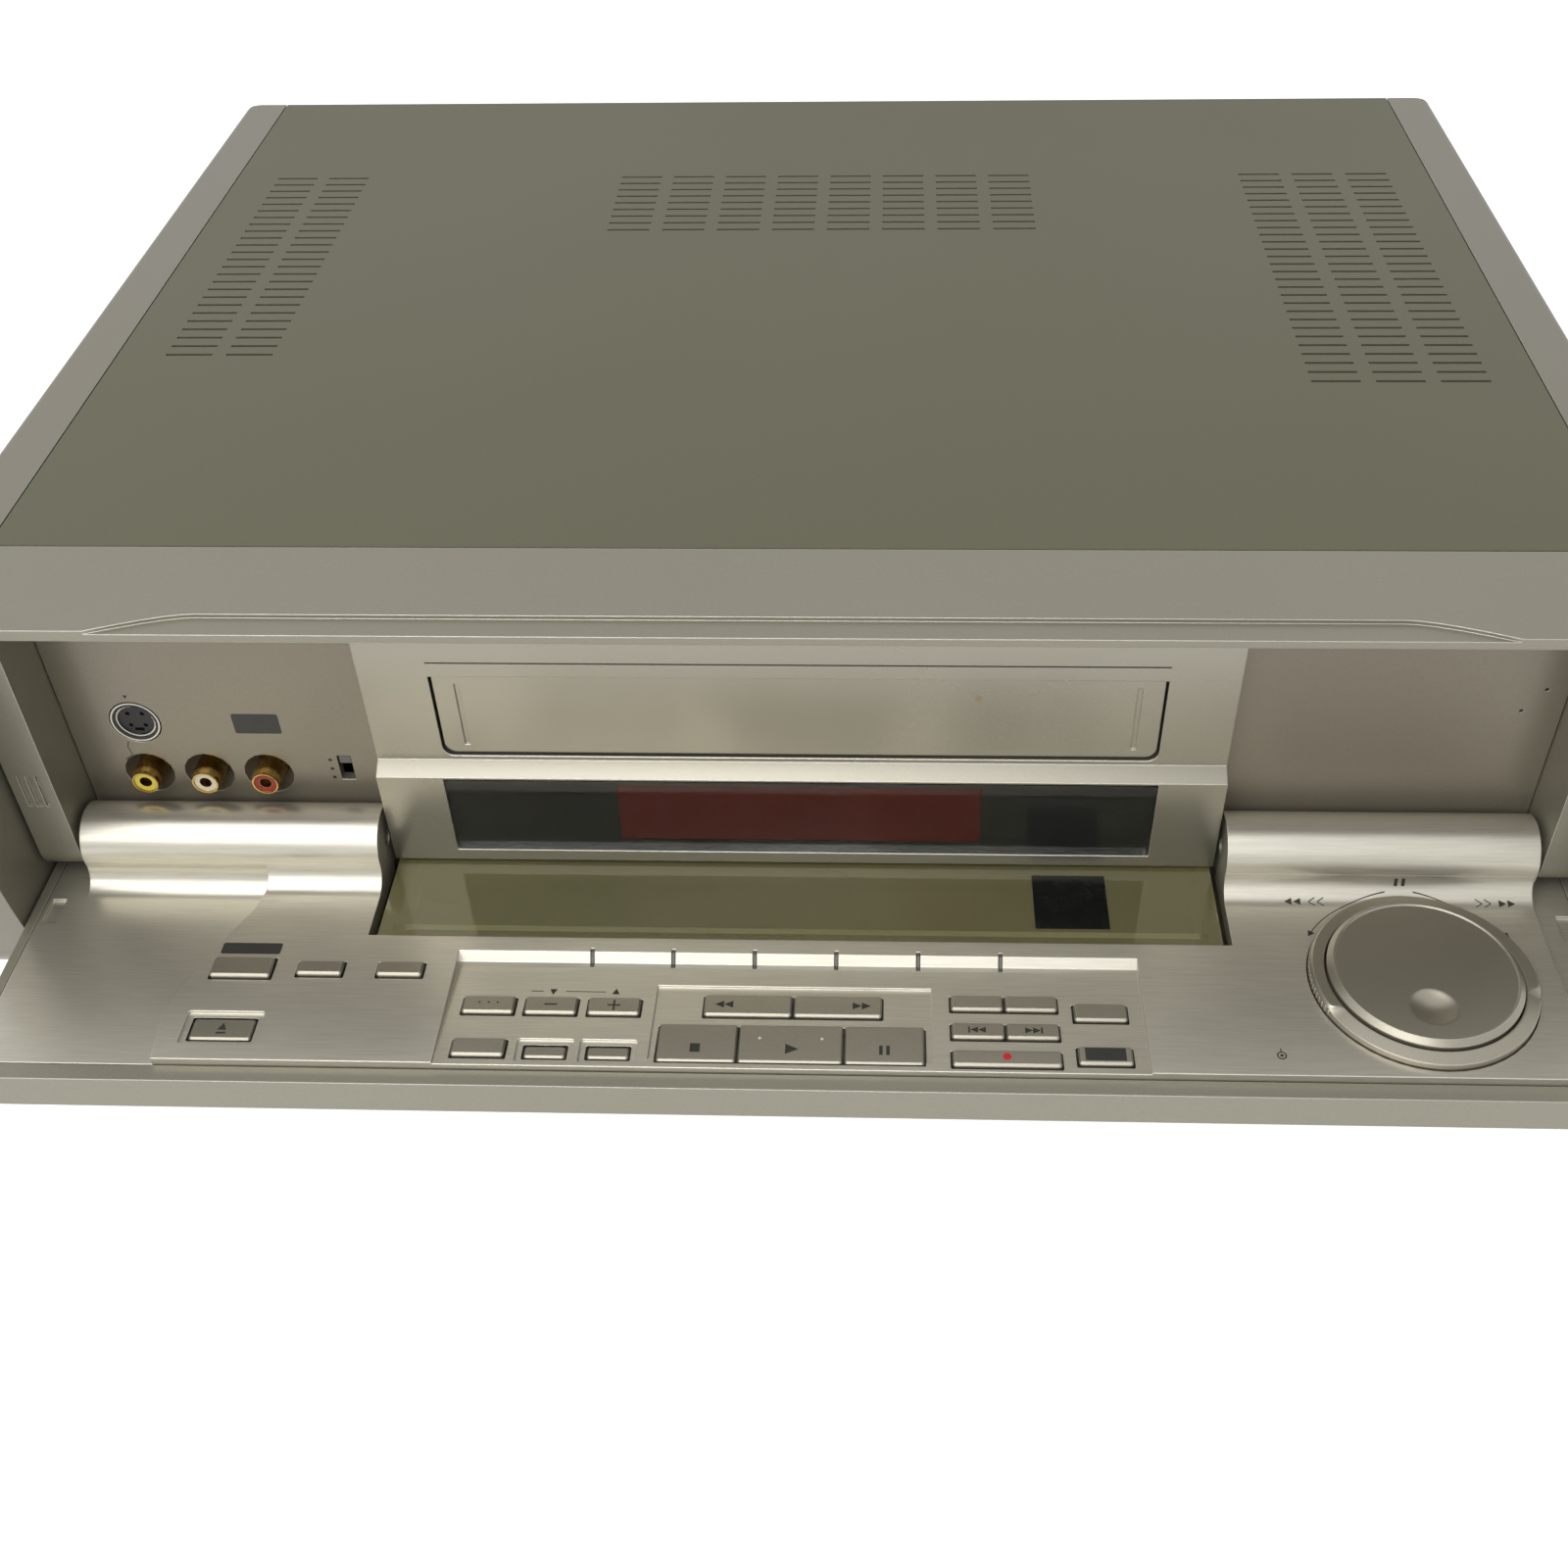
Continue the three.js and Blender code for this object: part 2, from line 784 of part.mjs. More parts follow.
piece("side_panel_left", mirrored(sidePanel), "panelPaint", housing);

// The scoop is a shallow cut in the brow's lip that fades out along an arc at each end.
function makeScoop(top) {
  const shape = new THREE.Shape();
  const rear = -(browDepth - scoopRun);
  const front = -browDepth - cutOverrun;
  const tip = scoopHalfWidth + scoopSpread;
  shape.moveTo(-tip, front);
  shape.lineTo(tip, front);
  shape.lineTo(tip, -browDepth);
  shape.quadraticCurveTo(scoopHalfWidth + scoopRun, rear, scoopHalfWidth, rear);
  shape.lineTo(-scoopHalfWidth, rear);
  shape.quadraticCurveTo(-scoopHalfWidth - scoopRun, rear, -tip, -browDepth);
  return alongZ(shape, top - scoopDepth, top + cutOverrun, 5);
}

// The bezel is one moulding: brow, two pillars, a front wall and the skirt below the flap.
function makeFrontBezel() {
  const lipTop = overallHeight - browDrop;
  const brow = alongX(
    outline([
      [-panelGap, overallHeight],
      [-panelGap, overallHeight - browThickness],
      [-browDepth, lipTop - browLip],
      [-browDepth, lipTop],
    ]),
    -bezelHalf,
    bezelHalf,
  );
  const bowed = cut(brow, [makeScoop(lipTop)]);

  // A tongue under the cover carries the brow back to the wall.
  const under = overallHeight - coverSheet - seatGap;
  const tongueHalf = bezelHalf - thinWall;
  const tongue = block(-tongueHalf, tongueHalf, -hingeGap, mouldedWall, doorZoneTop, under);
  const wallTop = doorZoneTop + cutOverrun;
  const innerHalf = coverHalf - coverSheet - seatGap;
  const wall = block(-innerHalf, innerHalf, -panelGap, mouldedWall, footHeight, wallTop);
  const wallOpening = block(
    -recessHalfWidth + recessFlange,
    recessHalfWidth - recessFlange,
    -panelGap - cutOverrun,
    mouldedWall + cutOverrun,
    fasciaBottom,
    doorZoneTop - fasciaWall,
  );

  const pillarShape = new THREE.Shape();
  pillarShape.moveTo(-panelGap, pillarBottom);
  pillarShape.lineTo(-panelGap, wallTop);
  pillarShape.lineTo(-pillarReach, wallTop);
  const roundZ = pillarBottom + pillarRound;
  pillarShape.lineTo(-pillarReach, roundZ);
  pillarShape.absarc(-pillarReach + pillarRound, roundZ, pillarRound, Math.PI, 1.5 * Math.PI);
  const pillarOuter = recessHalfWidth + pillarWidth;
  const pillarInner = recessHalfWidth;
  const pinHole = barX(
    hingePinRadius + hingeRunningGap,
    pillarInner - cutOverrun,
    pillarInner + hingePinEngagement + seatGap,
    -hingeReach,
    hingeHeight,
    16,
  );
  const catchX = pillarInner + pillarWidth / 2;
  const catchZ = hingeHeight + catchRise;
  const catchPocket = block(
    catchX - catchWidth / 2,
    catchX + catchWidth / 2,
    -pillarReach - cutOverrun,
    -pillarReach + catchDepth,
    catchZ - catchHeight / 2,
    catchZ + catchHeight / 2,
  );
  const ribs = [-catchRibShare, catchRibShare].map((share) =>
    block(
      catchX + share * catchWidth - catchRibWidth / 2,
      catchX + share * catchWidth + catchRibWidth / 2,
      -pillarReach,
      -pillarReach + catchDepth,
      catchZ - catchHeight / 2,
      catchZ + catchHeight / 2,
    ),
  );
  const pillarBody = alongX(pillarShape, pillarInner, pillarOuter, 5);
  const solidPillar = cut(pillarBody, [pinHole, catchPocket]);
  const pillar = join([solidPillar, ...ribs]);

  const skirtShape = new THREE.Shape();
  skirtShape.moveTo(-panelGap, footHeight);
  skirtShape.lineTo(-panelGap, footHeight + mouldedWall);
  skirtShape.lineTo(-skirtReach + mouldedWall, footHeight + mouldedWall);
  skirtShape.lineTo(-skirtReach + mouldedWall, footHeight + skirtHeight);
  skirtShape.lineTo(-skirtReach, footHeight + skirtHeight);
  const cornerZ = footHeight + skirtCorner;
  skirtShape.lineTo(-skirtReach, cornerZ);
  skirtShape.absarc(-skirtReach + skirtCorner, cornerZ, skirtCorner, Math.PI, 1.5 * Math.PI);
  const skirt = alongX(skirtShape, -bezelHalf, bezelHalf, 4);
  return join([bowed, tongue, cut(wall, [wallOpening]), pillar, mirrored(pillar), skirt]);
}
piece("front_bezel", makeFrontBezel(), "champagne", housing);

// The fascia carries the display window and the cassette door between the two recessed panels.
const doorOpeningHalf = doorHalfWidth + doorGap;

function makeFascia() {
  const rear = -panelGap - seatGap;
  const profile = outline([
    [rear, fasciaBottom],
    [-displayReach, fasciaBottom],
    [-displayReach, ledgeBottom],
    [-doorZoneReach, ledgeTop],
    [-doorZoneReach, doorZoneTop - seatGap],
    [rear, doorZoneTop - seatGap],
  ]);
  const body = alongX(profile, -fasciaHalfWidth, fasciaHalfWidth);
  const doorway = doorOutline(doorGap);
  const opening = alongY(doorway, -doorZoneReach - cutOverrun, cutOverrun, 4);
  const pocket = block(
    -windowHalfWidth - seatGap,
    windowHalfWidth + seatGap,
    -displayReach - cutOverrun,
    -displayReach + windowThickness + tubeDepth + 2 * seatGap,
    windowBottom - seatGap,
    windowTop + seatGap,
  );
  // Behind the display the moulding is hollow, open to the inside of the recorder.
  const hollow = block(
    -windowHalfWidth,
    windowHalfWidth,
    -displayReach + windowThickness + tubeDepth + fasciaWall,
    cutOverrun,
    fasciaBottom + fasciaWall,
    doorBottom - fasciaWall,
  );
  const pinHole = barX(
    doorPinRadius + hingeRunningGap,
    -doorHalfWidth - doorPinLength - seatGap,
    doorHalfWidth + doorPinLength + seatGap,
    doorPinY,
    doorPinZ,
    12,
  );
  // Behind its upper lip the doorway is higher, to take the door when it swings in.
  const well = block(
    -doorOpeningHalf,
    doorOpeningHalf,
    doorPinY - doorEarRound - doorSwingGap,
    cutOverrun,
    doorTop,
    doorPinZ + doorEarRound + doorSwingGap,
  );
  return cut(body, [opening, pocket, hollow, pinHole, well]);
}

// The door is wide with round lower corners, and two ears above it carry its pins.
const doorFront = -doorZoneReach + doorSetback;
const doorBack = doorFront + doorThickness;
const doorPinY = doorBack + seatGap + doorPinRadius;
const doorPinZ = doorTop + doorPinLift;
const doorEarRound = doorPinRadius + seatGap;

function doorOutline(margin) {
  const left = -doorHalfWidth - margin;
  const right = doorHalfWidth + margin;
  const shape = new THREE.Shape();
  shape.moveTo(left + doorLowerCorner, doorBottom - margin);
  shape.lineTo(right - doorLowerCorner, doorBottom - margin);
  const turnZ = doorBottom - margin + doorLowerCorner;
  shape.absarc(right - doorLowerCorner, turnZ, doorLowerCorner, -Math.PI / 2, 0);
  shape.lineTo(right, doorTop + margin);
  shape.lineTo(left, doorTop + margin);
  shape.absarc(left + doorLowerCorner, turnZ, doorLowerCorner, Math.PI, 1.5 * Math.PI);
  return shape;
}
piece("fascia", makeFascia(), "fasciaSilver", housing);

function makeDoor() {
  const front = doorFront;
  const plate = alongY(doorOutline(0), front, doorBack, 4);
  const ear = block(
    doorHalfWidth - doorEarWidth,
    doorHalfWidth,
    doorBack - seatGap,
    doorPinY + doorEarRound,
    doorTop - doorEarOverlap,
    doorPinZ,
  );
  const earX = doorHalfWidth - doorEarWidth;
  const earTop = barX(doorEarRound, earX, doorHalfWidth, doorPinY, doorPinZ, 16);
  const middle = (doorTop + doorBottom) / 2;
  const reach = ((doorTop - doorBottom) * doorGrooveShare) / 2;
  const groove = block(
    doorGrooveOffset - doorGrooveWidth / 2,
    doorGrooveOffset + doorGrooveWidth / 2,
    front - cutOverrun,
    front + doorGrooveDepth,
    middle - reach,
    middle + reach,
  );
  const pin = barX(doorPinRadius, earX, doorHalfWidth + doorPinLength, doorPinY, doorPinZ, 16);
  const hanger = join([ear, earTop, pin]);
  return cut(join([plate, hanger, mirrored(hanger)]), [groove, mirrored(groove)]);
}
piece("cassette_door", makeDoor(), "fasciaSilver", housing);

const windowBack = -displayReach + windowThickness;
const windowMiddle = (windowBottom + windowTop) / 2;
const windowHeight = windowTop - windowBottom;
piece(
  "display_window",
  alongY(
    roundedRectangle(0, windowMiddle, 2 * windowHalfWidth, windowHeight, windowCorner),
    -displayReach,
    windowBack,
    2,
  ),
  "darkGlass",
  housing,
);
const tubeFront = windowBack + seatGap;
piece(
  "display_tube",
  block(
    -tubeHalfWidth,
    tubeHalfWidth,
    tubeFront,
    tubeFront + tubeDepth,
    windowBottom + tubeMargin,
    windowTop - tubeMargin,
  ),
  "redFilter",
  housing,
);
piece(
  "remote_sensor",
  block(
    sensorOffset - sensorWidth / 2,
    sensorOffset + sensorWidth / 2,
    tubeFront,
    tubeFront + sensorDepth,
    windowBottom + sensorMargin,
    windowTop - sensorMargin,
  ),
  "blackPlastic",
  housing,
);

// Recessed panels either side of the fascia
const recessOuter = recessHalfWidth - seatGap;
const recessInner = fasciaHalfWidth + seatGap;
const acrossRecess = (share) => recessHalfWidth - share * recessWidth;
const upRecess = (share) => recessPanelBottom + share * recessHeight;
const superJackX = acrossRecess(superJackAcrossShare);
const superJackZ = upRecess(superJackUpShare);
const phonoZ = upRecess(phonoUpShare);
const phonoXs = [0, 1, 2].map((place) => -acrossRecess(phonoAcrossShare + place * phonoPitchShare));
const switchX = acrossRecess(switchAcrossShare);
const switchSlotBottom = upRecess(switchBottomShare);
const switchSlotTop = upRecess(switchTopShare);
const switchTravel = switchSlotTop - switchSlotBottom - switchKnobHeight - 2 * seatGap;

// A recessed panel is a thin front with a return wall round three sides that reaches the wall.
function makeRecessPanel() {
  const front = -recessFace;
  const back = front + recessPanelThickness;
  const face = block(recessInner, recessOuter, front, back, recessPanelBottom, recessTop);
  const rearEnd = -panelGap - seatGap;
  const outerWall = block(recessOuter - thinWall, recessOuter, back, rearEnd, recessPanelBottom, recessTop);
  const innerWall = block(recessInner, recessInner + thinWall, back, rearEnd, recessPanelBottom, recessTop);
  const upperWall = block(recessInner, recessOuter, back, rearEnd, recessTop - thinWall, recessTop);
  return join([face, outerWall, innerWall, upperWall]);
}

function makeJackPanel() {
  const front = -recessFace;
  const bossRear = front + phonoSeat + recessPanelThickness;
  const bossHalf = phonoScoopRadius + phonoBossMargin / 2;
  const boss = block(
    phonoXs[0] - bossHalf,
    phonoXs[2] + bossHalf,
    front + recessPanelThickness,
    bossRear,
    phonoZ - bossHalf,
    phonoZ + bossHalf,
  );
  const dishes = phonoXs.map((x) => {
    const dish = new THREE.SphereGeometry(phonoScoopRadius, 16, 10).translate(x, front, phonoZ);
    return solid(dish);
  });
  const boreRadius = phonoRadius + seatGap;
  const bores = phonoXs.map((x) => barY(boreRadius, x, front, bossRear + cutOverrun, phonoZ, 16));
  const superRadius = superJackRadius + seatGap;
  const superHole = barY(superRadius, -superJackX, front - cutOverrun, 0, superJackZ, 20);
  const slot = block(
    -switchX - switchSlotWidth / 2,
    -switchX + switchSlotWidth / 2,
    front - cutOverrun,
    0,
    switchSlotBottom,
    switchSlotTop,
  );
  const plain = join([mirrored(makeRecessPanel()), boss]);
  return cut(plain, [...dishes, ...bores, superHole, slot]);
}
piece("jack_panel", makeJackPanel(), "recessPaint", housing);

function makeBlankPanel() {
  const holes = pinholeShares.map(([across, up]) => {
    const x = recessInner + across * recessWidth;
    return barY(pinholeRadius, x, -recessFace - cutOverrun, 0, upRecess(up), 8);
  });
  return cut(makeRecessPanel(), holes);
}
piece("blank_panel", makeBlankPanel(), "recessPaint", housing);

// A round socket with a ring, four contact holes and a key slot
function makeSuperJack() {
  const front = -recessFace;
  const barrel = spunForward(
    [
      [0, -superJackDepth],
      [superJackRadius, -superJackDepth],
      [superJackRadius, 0],
      [superRingOuter, 0],
      [superRingOuter, -superRingGroove],
      [superRingInner, -superRingGroove],
      [superRingInner, -2 * superRingGroove],
      [0, -2 * superRingGroove],
    ],
    -superJackX,
    front,
    superJackZ,
    20,
  );
  const contactAngles = [0.25, 0.75, 1.25, 1.75].map((turnShare) => turnShare * Math.PI);
  const contacts = contactAngles.map((angle) =>
    barY(
      superPinRadius,
      -superJackX + superPinCircle * Math.cos(angle),
      front - cutOverrun,
      front + superPinDepth,
      superJackZ + superPinCircle * Math.sin(angle),
      6,
    ),
  );
  const key = block(
    -superJackX - superKeyWidth / 2,
    -superJackX + superKeyWidth / 2,
    front - cutOverrun,
    front + superPinDepth,
    superJackZ - superPinCircle - superKeyHeight,
    superJackZ - superPinCircle,
  );
  return cut(barrel, [...contacts, key]);
}
piece("s_video_jack", makeSuperJack(), "blackPlastic", housing);

// A phono jack: a barrel with a rim, a coloured core and a bore
function makePhonoJack(x) {
  const front = -recessFace - phonoReach;
  const length = phonoReach + phonoSeat + recessPanelThickness;
  return spunForward(
    [
      [0, -length],
      [phonoRadius, -length],
      [phonoRadius, -phonoRimLength],
      [phonoRadius - phonoRim, 0],
      [phonoInsert, 0],
      [phonoInsert, -phonoRim],
      [phonoBore, -phonoRim],
      [phonoBore, -phonoBoreDepth],
      [0, -phonoBoreDepth],
    ],
    x,
    front,
    phonoZ,
    16,
  );
}
["video", "audio_left", "audio_right"].forEach((name, place) => {
  piece(`phono_jack_${name}`, makePhonoJack(phonoXs[place]), "gold", housing);
});

// The switch knob passes through its slot and is kept in by a plate behind the panel.
function makeSwitchKnob() {
  const back = -recessFace + recessPanelThickness + seatGap;
  const knobTop = switchSlotTop - seatGap;
  const knob = block(
    -switchX - switchKnobWidth / 2,
    -switchX + switchKnobWidth / 2,
    -recessFace - switchKnobProud + recessPanelThickness / 2,
    back,
    knobTop - switchKnobHeight,
    knobTop,
  );
  const plate = block(
    -switchX - switchSlotWidth / 2 - switchPlateMargin,
    -switchX + switchSlotWidth / 2 + switchPlateMargin,
    back,
    back + thinWall,
    switchSlotBottom - switchPlateMargin + switchTravel,
    switchSlotTop + switchPlateMargin,
  );
  return join([knob, plate]);
}
piece("remote_code_switch", makeSwitchKnob(), "greyPlastic", housing);

const panFront = mouldedWall + seatGap;
const panRear = rearPanelY - chassisSheet - seatGap;

function makePan() {
  const floorTop = footHeight + chassisSheet;
  const tray = block(-panHalf, panHalf, panFront, panRear, footHeight, floorTop + panWall);
  const inside = block(
    -panHalf + chassisSheet,
    panHalf - chassisSheet,
    panFront + chassisSheet,
    panRear + cutOverrun,
    floorTop,
    floorTop + panWall + cutOverrun,
  );
  return cut(tray, [inside]);
}
piece("chassis_pan", makePan(), "zincSteel", housing);

const footProfile = [
  [0, footPadDepth],
  [footPadRadius, footPadDepth],
  [footPadRadius, 0],
  [footRadius, 0],
  [footTopRadius, footHeight - seatGap],
  [0, footHeight - seatGap],
];
[
  ["front_left", -1, footFrontY],
  ["front_right", 1, footFrontY],
  ["rear_left", -1, footRearY],
  ["rear_right", 1, footRearY],
].forEach(([name, side, y]) => {
  const foot = spun(footProfile, side * (halfWidth - footInset), y, 0, 20);
  piece(`foot_${name}`, foot, "rubber", housing);
});

// Flap: a hollow outer shell and an inner panel that turn on pins in the pillars.
// Its group stands on the hinge line, with -Y towards the free edge.
const flap = new THREE.Group();
flap.position.set(0, -hingeReach, hingeHeight);
recorder.add(flap);

const flapHalf = panelInner - flapSideGap;
const flapReach = overallHeight - flapTopGap - hingeHeight;
const plateFront = flapReach - plateFrontStrip;
const landLevel = -landDepth;
const raisedLevel = landLevel + raisedStep;
const panelUnder = landLevel - panelThickness;
const barrelInner = fasciaHalfWidth + barrelInnerGap;
const barrelOuter = recessHalfWidth - barrelOuterGap;
const flapWindowHalf = barrelInner - flapWindowSideGap;
const flapWindowFront = flapWindowFrontShare * flapReach;

// The underside follows the arc of the side panels: its level at a distance from the hinge.
function flapUnder(distance, inset) {
  const rise = hingeHeight + distance - panelBulgeHeight;
  const arcY = -panelFrontReach + panelFrontRadius - Math.sqrt(panelFrontRadius ** 2 - rise ** 2);
  return arcY + hingeReach + inset;
}

// Profile of the shell in (y, z): front face, underside arc and tail, closed along the top
function flapProfile(inset, frontInset, top) {
  const points = [[-(flapReach - frontInset), top]];
  for (let step = 0; step <= flapSteps; step += 1) {
    const along = ((flapReach - frontInset + flapTailStart) * step) / flapSteps;
    const distance = flapReach - frontInset - along;
    points.push([-distance, flapUnder(distance, flapInset + inset)]);
  }
  const radius = flapTailRadius - inset;
  const startAngle = Math.atan2(flapUnder(-flapTailStart, flapInset + inset), flapTailStart);
  const endAngle = -Math.asin(flapTailTop / radius);
  for (let step = 1; step <= flapTailSteps; step += 1) {
    const angle = startAngle + ((endAngle - startAngle) * step) / flapTailSteps;
    points.push([radius * Math.cos(angle), radius * Math.sin(angle)]);
  }
  points.push([flapTailRadius * Math.cos(endAngle), top]);
  return outline(points);
}

function makeFlapShell() {
  const tailTop = -flapTailTop;
  const outer = alongX(flapProfile(0, 0, tailTop), -flapHalf, flapHalf);
  const above = block(
    -flapHalf - cutOverrun,
    flapHalf + cutOverrun,
    -flapReach - cutOverrun,
    barrelRadius,
    landLevel,
    0,
  );
  const innerHalf = flapHalf - panelSide;
  const inner = alongX(flapProfile(flapWall, flapWall, tailTop + cutOverrun), -innerHalf, innerHalf);
  const windowCut = block(
    -flapWindowHalf + flapWindowLip,
    flapWindowHalf - flapWindowLip,
    -flapWindowFront + flapWindowLip,
    flapWindowRear,
    -2 * flapTailRadius,
    0,
  );
  // The front rim stands over the edge of the inner panel's seat.
  const rim = block(-flapHalf, flapHalf, -flapReach, -plateFront - seatGap, panelUnder, landLevel);
  const shell = cut(outer, [above, inner, windowCut]);
  return join([shell, rim.intersect(outer)]);
}
piece("flap_shell", makeFlapShell(), "champagne", flap);

// Tray, key and plate sizes that follow from the shares
const plateRight = barrelOuter - plateRightInset;
const plateLeftMost = plateLeftMostShare * barrelOuter;
const plateLeftRoot = plateLeftRootShare * barrelOuter;
const trayHalfWidth = trayShare * barrelInner;
const trayRear = trayRearShare * flapReach;
const trayDepth = plateFront - trayRear;
const blockHalfWidth = blockShare * trayHalfWidth;
const blockRear = trayRear + blockRearShare * trayDepth;
const blockFront = trayRear + blockFrontShare * trayDepth;
const smallKeyWidth = smallKeyWidthShare * trayHalfWidth;
const smallKeyDepth = smallKeyDepthShare * trayDepth;
const slimKeyWidth = slimKeyWidthShare * trayHalfWidth;
const slimKeyDepth = slimKeyDepthShare * trayDepth;
const searchKeyWidth = searchKeyWidthShare * trayHalfWidth;
const searchKeyDepth = searchKeyDepthShare * trayDepth;
const playKeyWidth = playKeyWidthShare * trayHalfWidth;
const sideKeyWidth = sideKeyWidthShare * trayHalfWidth;
const transportKeyDepth = transportKeyDepthShare * trayDepth;
const markKeyWidth = markKeyWidthShare * trayHalfWidth;
const markKeyDepth = markKeyDepthShare * trayDepth;
const powerKeyWidth = powerKeyWidthShare * barrelOuter;
const powerKeyDepth = powerKeyDepthShare * trayDepth;
const plateKeyWidth = plateKeyWidthShare * barrelOuter;
const plateKeyDepth = plateKeyDepthShare * trayDepth;
const trayY = (share) => -trayRear - share * trayDepth;

// Each key by name, place and size: hooded keys sit low in a recess of their own
const keys = [];
for (const [name, xShare, yShare] of smallKeyShares) {
  keys.push({
    name,
    x: xShare * trayHalfWidth,
    y: trayY(yShare),
    width: smallKeyWidth,
    depth: smallKeyDepth,
  });
}
for (const [name, xShare, yShare] of slimKeyShares) {
  keys.push({
    name,
    x: xShare * trayHalfWidth,
    y: trayY(yShare),
    width: slimKeyWidth,
    depth: slimKeyDepth,
    hooded: true,
  });
}
const markOffset = (markKeyWidth + pairGap) / 2;
[
  ["key_mark_1", -1, markRowShares[0]],
  ["key_mark_2", 1, markRowShares[0]],
  ["key_previous", -1, markRowShares[1]],
  ["key_next", 1, markRowShares[1]],
].forEach(([name, side, share]) => {
  const x = markColumnShare * trayHalfWidth + side * markOffset;
  keys.push({ name, x, y: trayY(share), width: markKeyWidth, depth: markKeyDepth });
});
keys.push({
  name: "key_record",
  x: markColumnShare * trayHalfWidth,
  y: trayY(recordRowShare),
  width: 2 * markKeyWidth + pairGap,
  depth: markKeyDepth,
});
[
  ["key_rewind", -1],
  ["key_fast_forward", 1],
].forEach(([name, side]) => {
  const x = (side * (searchKeyWidth + pairGap)) / 2;
  const y = trayY(searchRowShare);
  keys.push({ name, x, y, width: searchKeyWidth, depth: searchKeyDepth, sunk: true });
});
const sideOffset = (playKeyWidth + sideKeyWidth) / 2 + pairGap;
[
  ["key_stop", -sideOffset, sideKeyWidth],
  ["key_play", 0, playKeyWidth],
  ["key_pause", sideOffset, sideKeyWidth],
].forEach(([name, x, width]) => {
  keys.push({ name, x, y: trayY(transportRowShare), width, depth: transportKeyDepth, sunk: true });
});

// Keys on the raised plate, left of the tray
const plateKeyRow = plateKeyRowShare * flapReach;
[
  ["key_power", powerKeyShare, powerKeyWidth, powerKeyDepth],
  ["key_timer", timerKeyShare, plateKeyWidth, plateKeyDepth],
  ["key_display", displayKeyShare, plateKeyWidth, plateKeyDepth],
].forEach(([name, share, width, depth]) => {
  keys.push({ name, x: -share * barrelOuter, y: -plateKeyRow, width, depth, plate: true });
});
keys.push({
  name: "key_eject",
  x: -powerKeyShare * barrelOuter,
  y: -ejectKeyRowShare * flapReach,
  width: powerKeyWidth,
  depth: powerKeyDepth,
  plate: true,
  hooded: true,
});

// The tray floor rises evenly from its rear to its front.
function trayFloor(y) {
  const rise = (trayRearDepth - trayFrontDepth) * ((-y - trayRear) / trayDepth);
  return raisedLevel - trayRearDepth + rise;
}

function keyFloor(key) {
  const floor = key.plate ? raisedLevel : trayFloor(key.y);
  return key.sunk ? floor - blockSunk : floor;
}

// Dial, ring and indicators by their shares
const dialX = dialAcrossShare * barrelOuter;
const dialY = dialForwardShare * flapReach;
const ringRadius = ringShare * flapReach;
const ringInner = ringRadius - ringWidth;
const jogRadius = ringRadius - jogMargin;
const dimpleRadius = dimpleShare * jogRadius;
const dimpleOffset = dimpleOffsetShare * jogRadius;
const encoderRadius = ringRadius - encoderMargin;
const wellRadius = ringRadius + keyClearance;
const ringBottom = panelUnder - seatGap;
const indicatorRear = indicatorRearShare * flapReach;
const indicatorPitch = indicatorPitchShare * trayHalfWidth;
const indicatorXs = Array.from(
  { length: indicatorCount },
  (_, place) => (place - (indicatorCount - 1) / 2) * indicatorPitch,
);

// A barrel with the concave sweep that leads from it onto the panel at a level
function barrelProfile(level) {
  const meetY = Math.sqrt((barrelRadius + filletRadius) ** 2 - (filletRadius + level) ** 2);
  const centreZ = filletRadius + level;
  const touch = Math.atan2(-centreZ, meetY);
  const shape = new THREE.Shape();
  shape.moveTo(0, level - panelThickness);
  shape.lineTo(-meetY, level - panelThickness);
  shape.lineTo(-meetY, level);
  shape.absarc(-meetY, centreZ, filletRadius, -Math.PI / 2, touch);
  shape.lineTo(0, 0);
  return shape;
}

// Each barrel sweeps down to the land, and over the width of the raised plate to the plate.
function makeBarrel(plateEnd) {
  const roller = barX(barrelRadius, barrelInner, barrelOuter, 0, 0, 40);
  const sweep = alongX(barrelProfile(landLevel), barrelInner, barrelOuter, 8);
  const raisedSweep = alongX(barrelProfile(raisedLevel), barrelInner, plateEnd, 8);
  return join([roller, sweep, raisedSweep]);
}

function plateOutline() {
  const depth = plateFront - barrelRadius;
  const swing = plateLeftMost - plateLeftRoot;
  const edge = plateEdgeShares.map(
    ([along, out]) => new THREE.Vector2(-plateLeftRoot - out * swing, -barrelRadius - along * depth),
  );
  const curve = new THREE.SplineCurve(edge).getPoints(plateEdgeSteps);
  const shape = new THREE.Shape();
  shape.moveTo(-plateLeftRoot, 0);
  curve.forEach((point) => shape.lineTo(point.x, point.y));
  shape.lineTo(plateRight, -plateFront);
  shape.lineTo(plateRight, 0);
  return shape;
}

// The tray's hollow above a level: a slope at its rear, then a floor that rises to the front
function makeTrayHollow(lift) {
  const front = -plateFront - cutOverrun;
  return alongX(
    outline([
      [-trayRear, raisedLevel + lift],
      [-trayRear - traySlopeRun / 2, trayFloor(-trayRear) + trayFrontDepth + lift],
      [-trayRear - traySlopeRun, trayFloor(-trayRear - traySlopeRun) + lift],
      [front, trayFloor(front) + lift],
      [front, raisedLevel + cutOverrun],
      [-trayRear, raisedLevel + cutOverrun],
    ]),
    -trayHalfWidth,
    trayHalfWidth,
  );
}

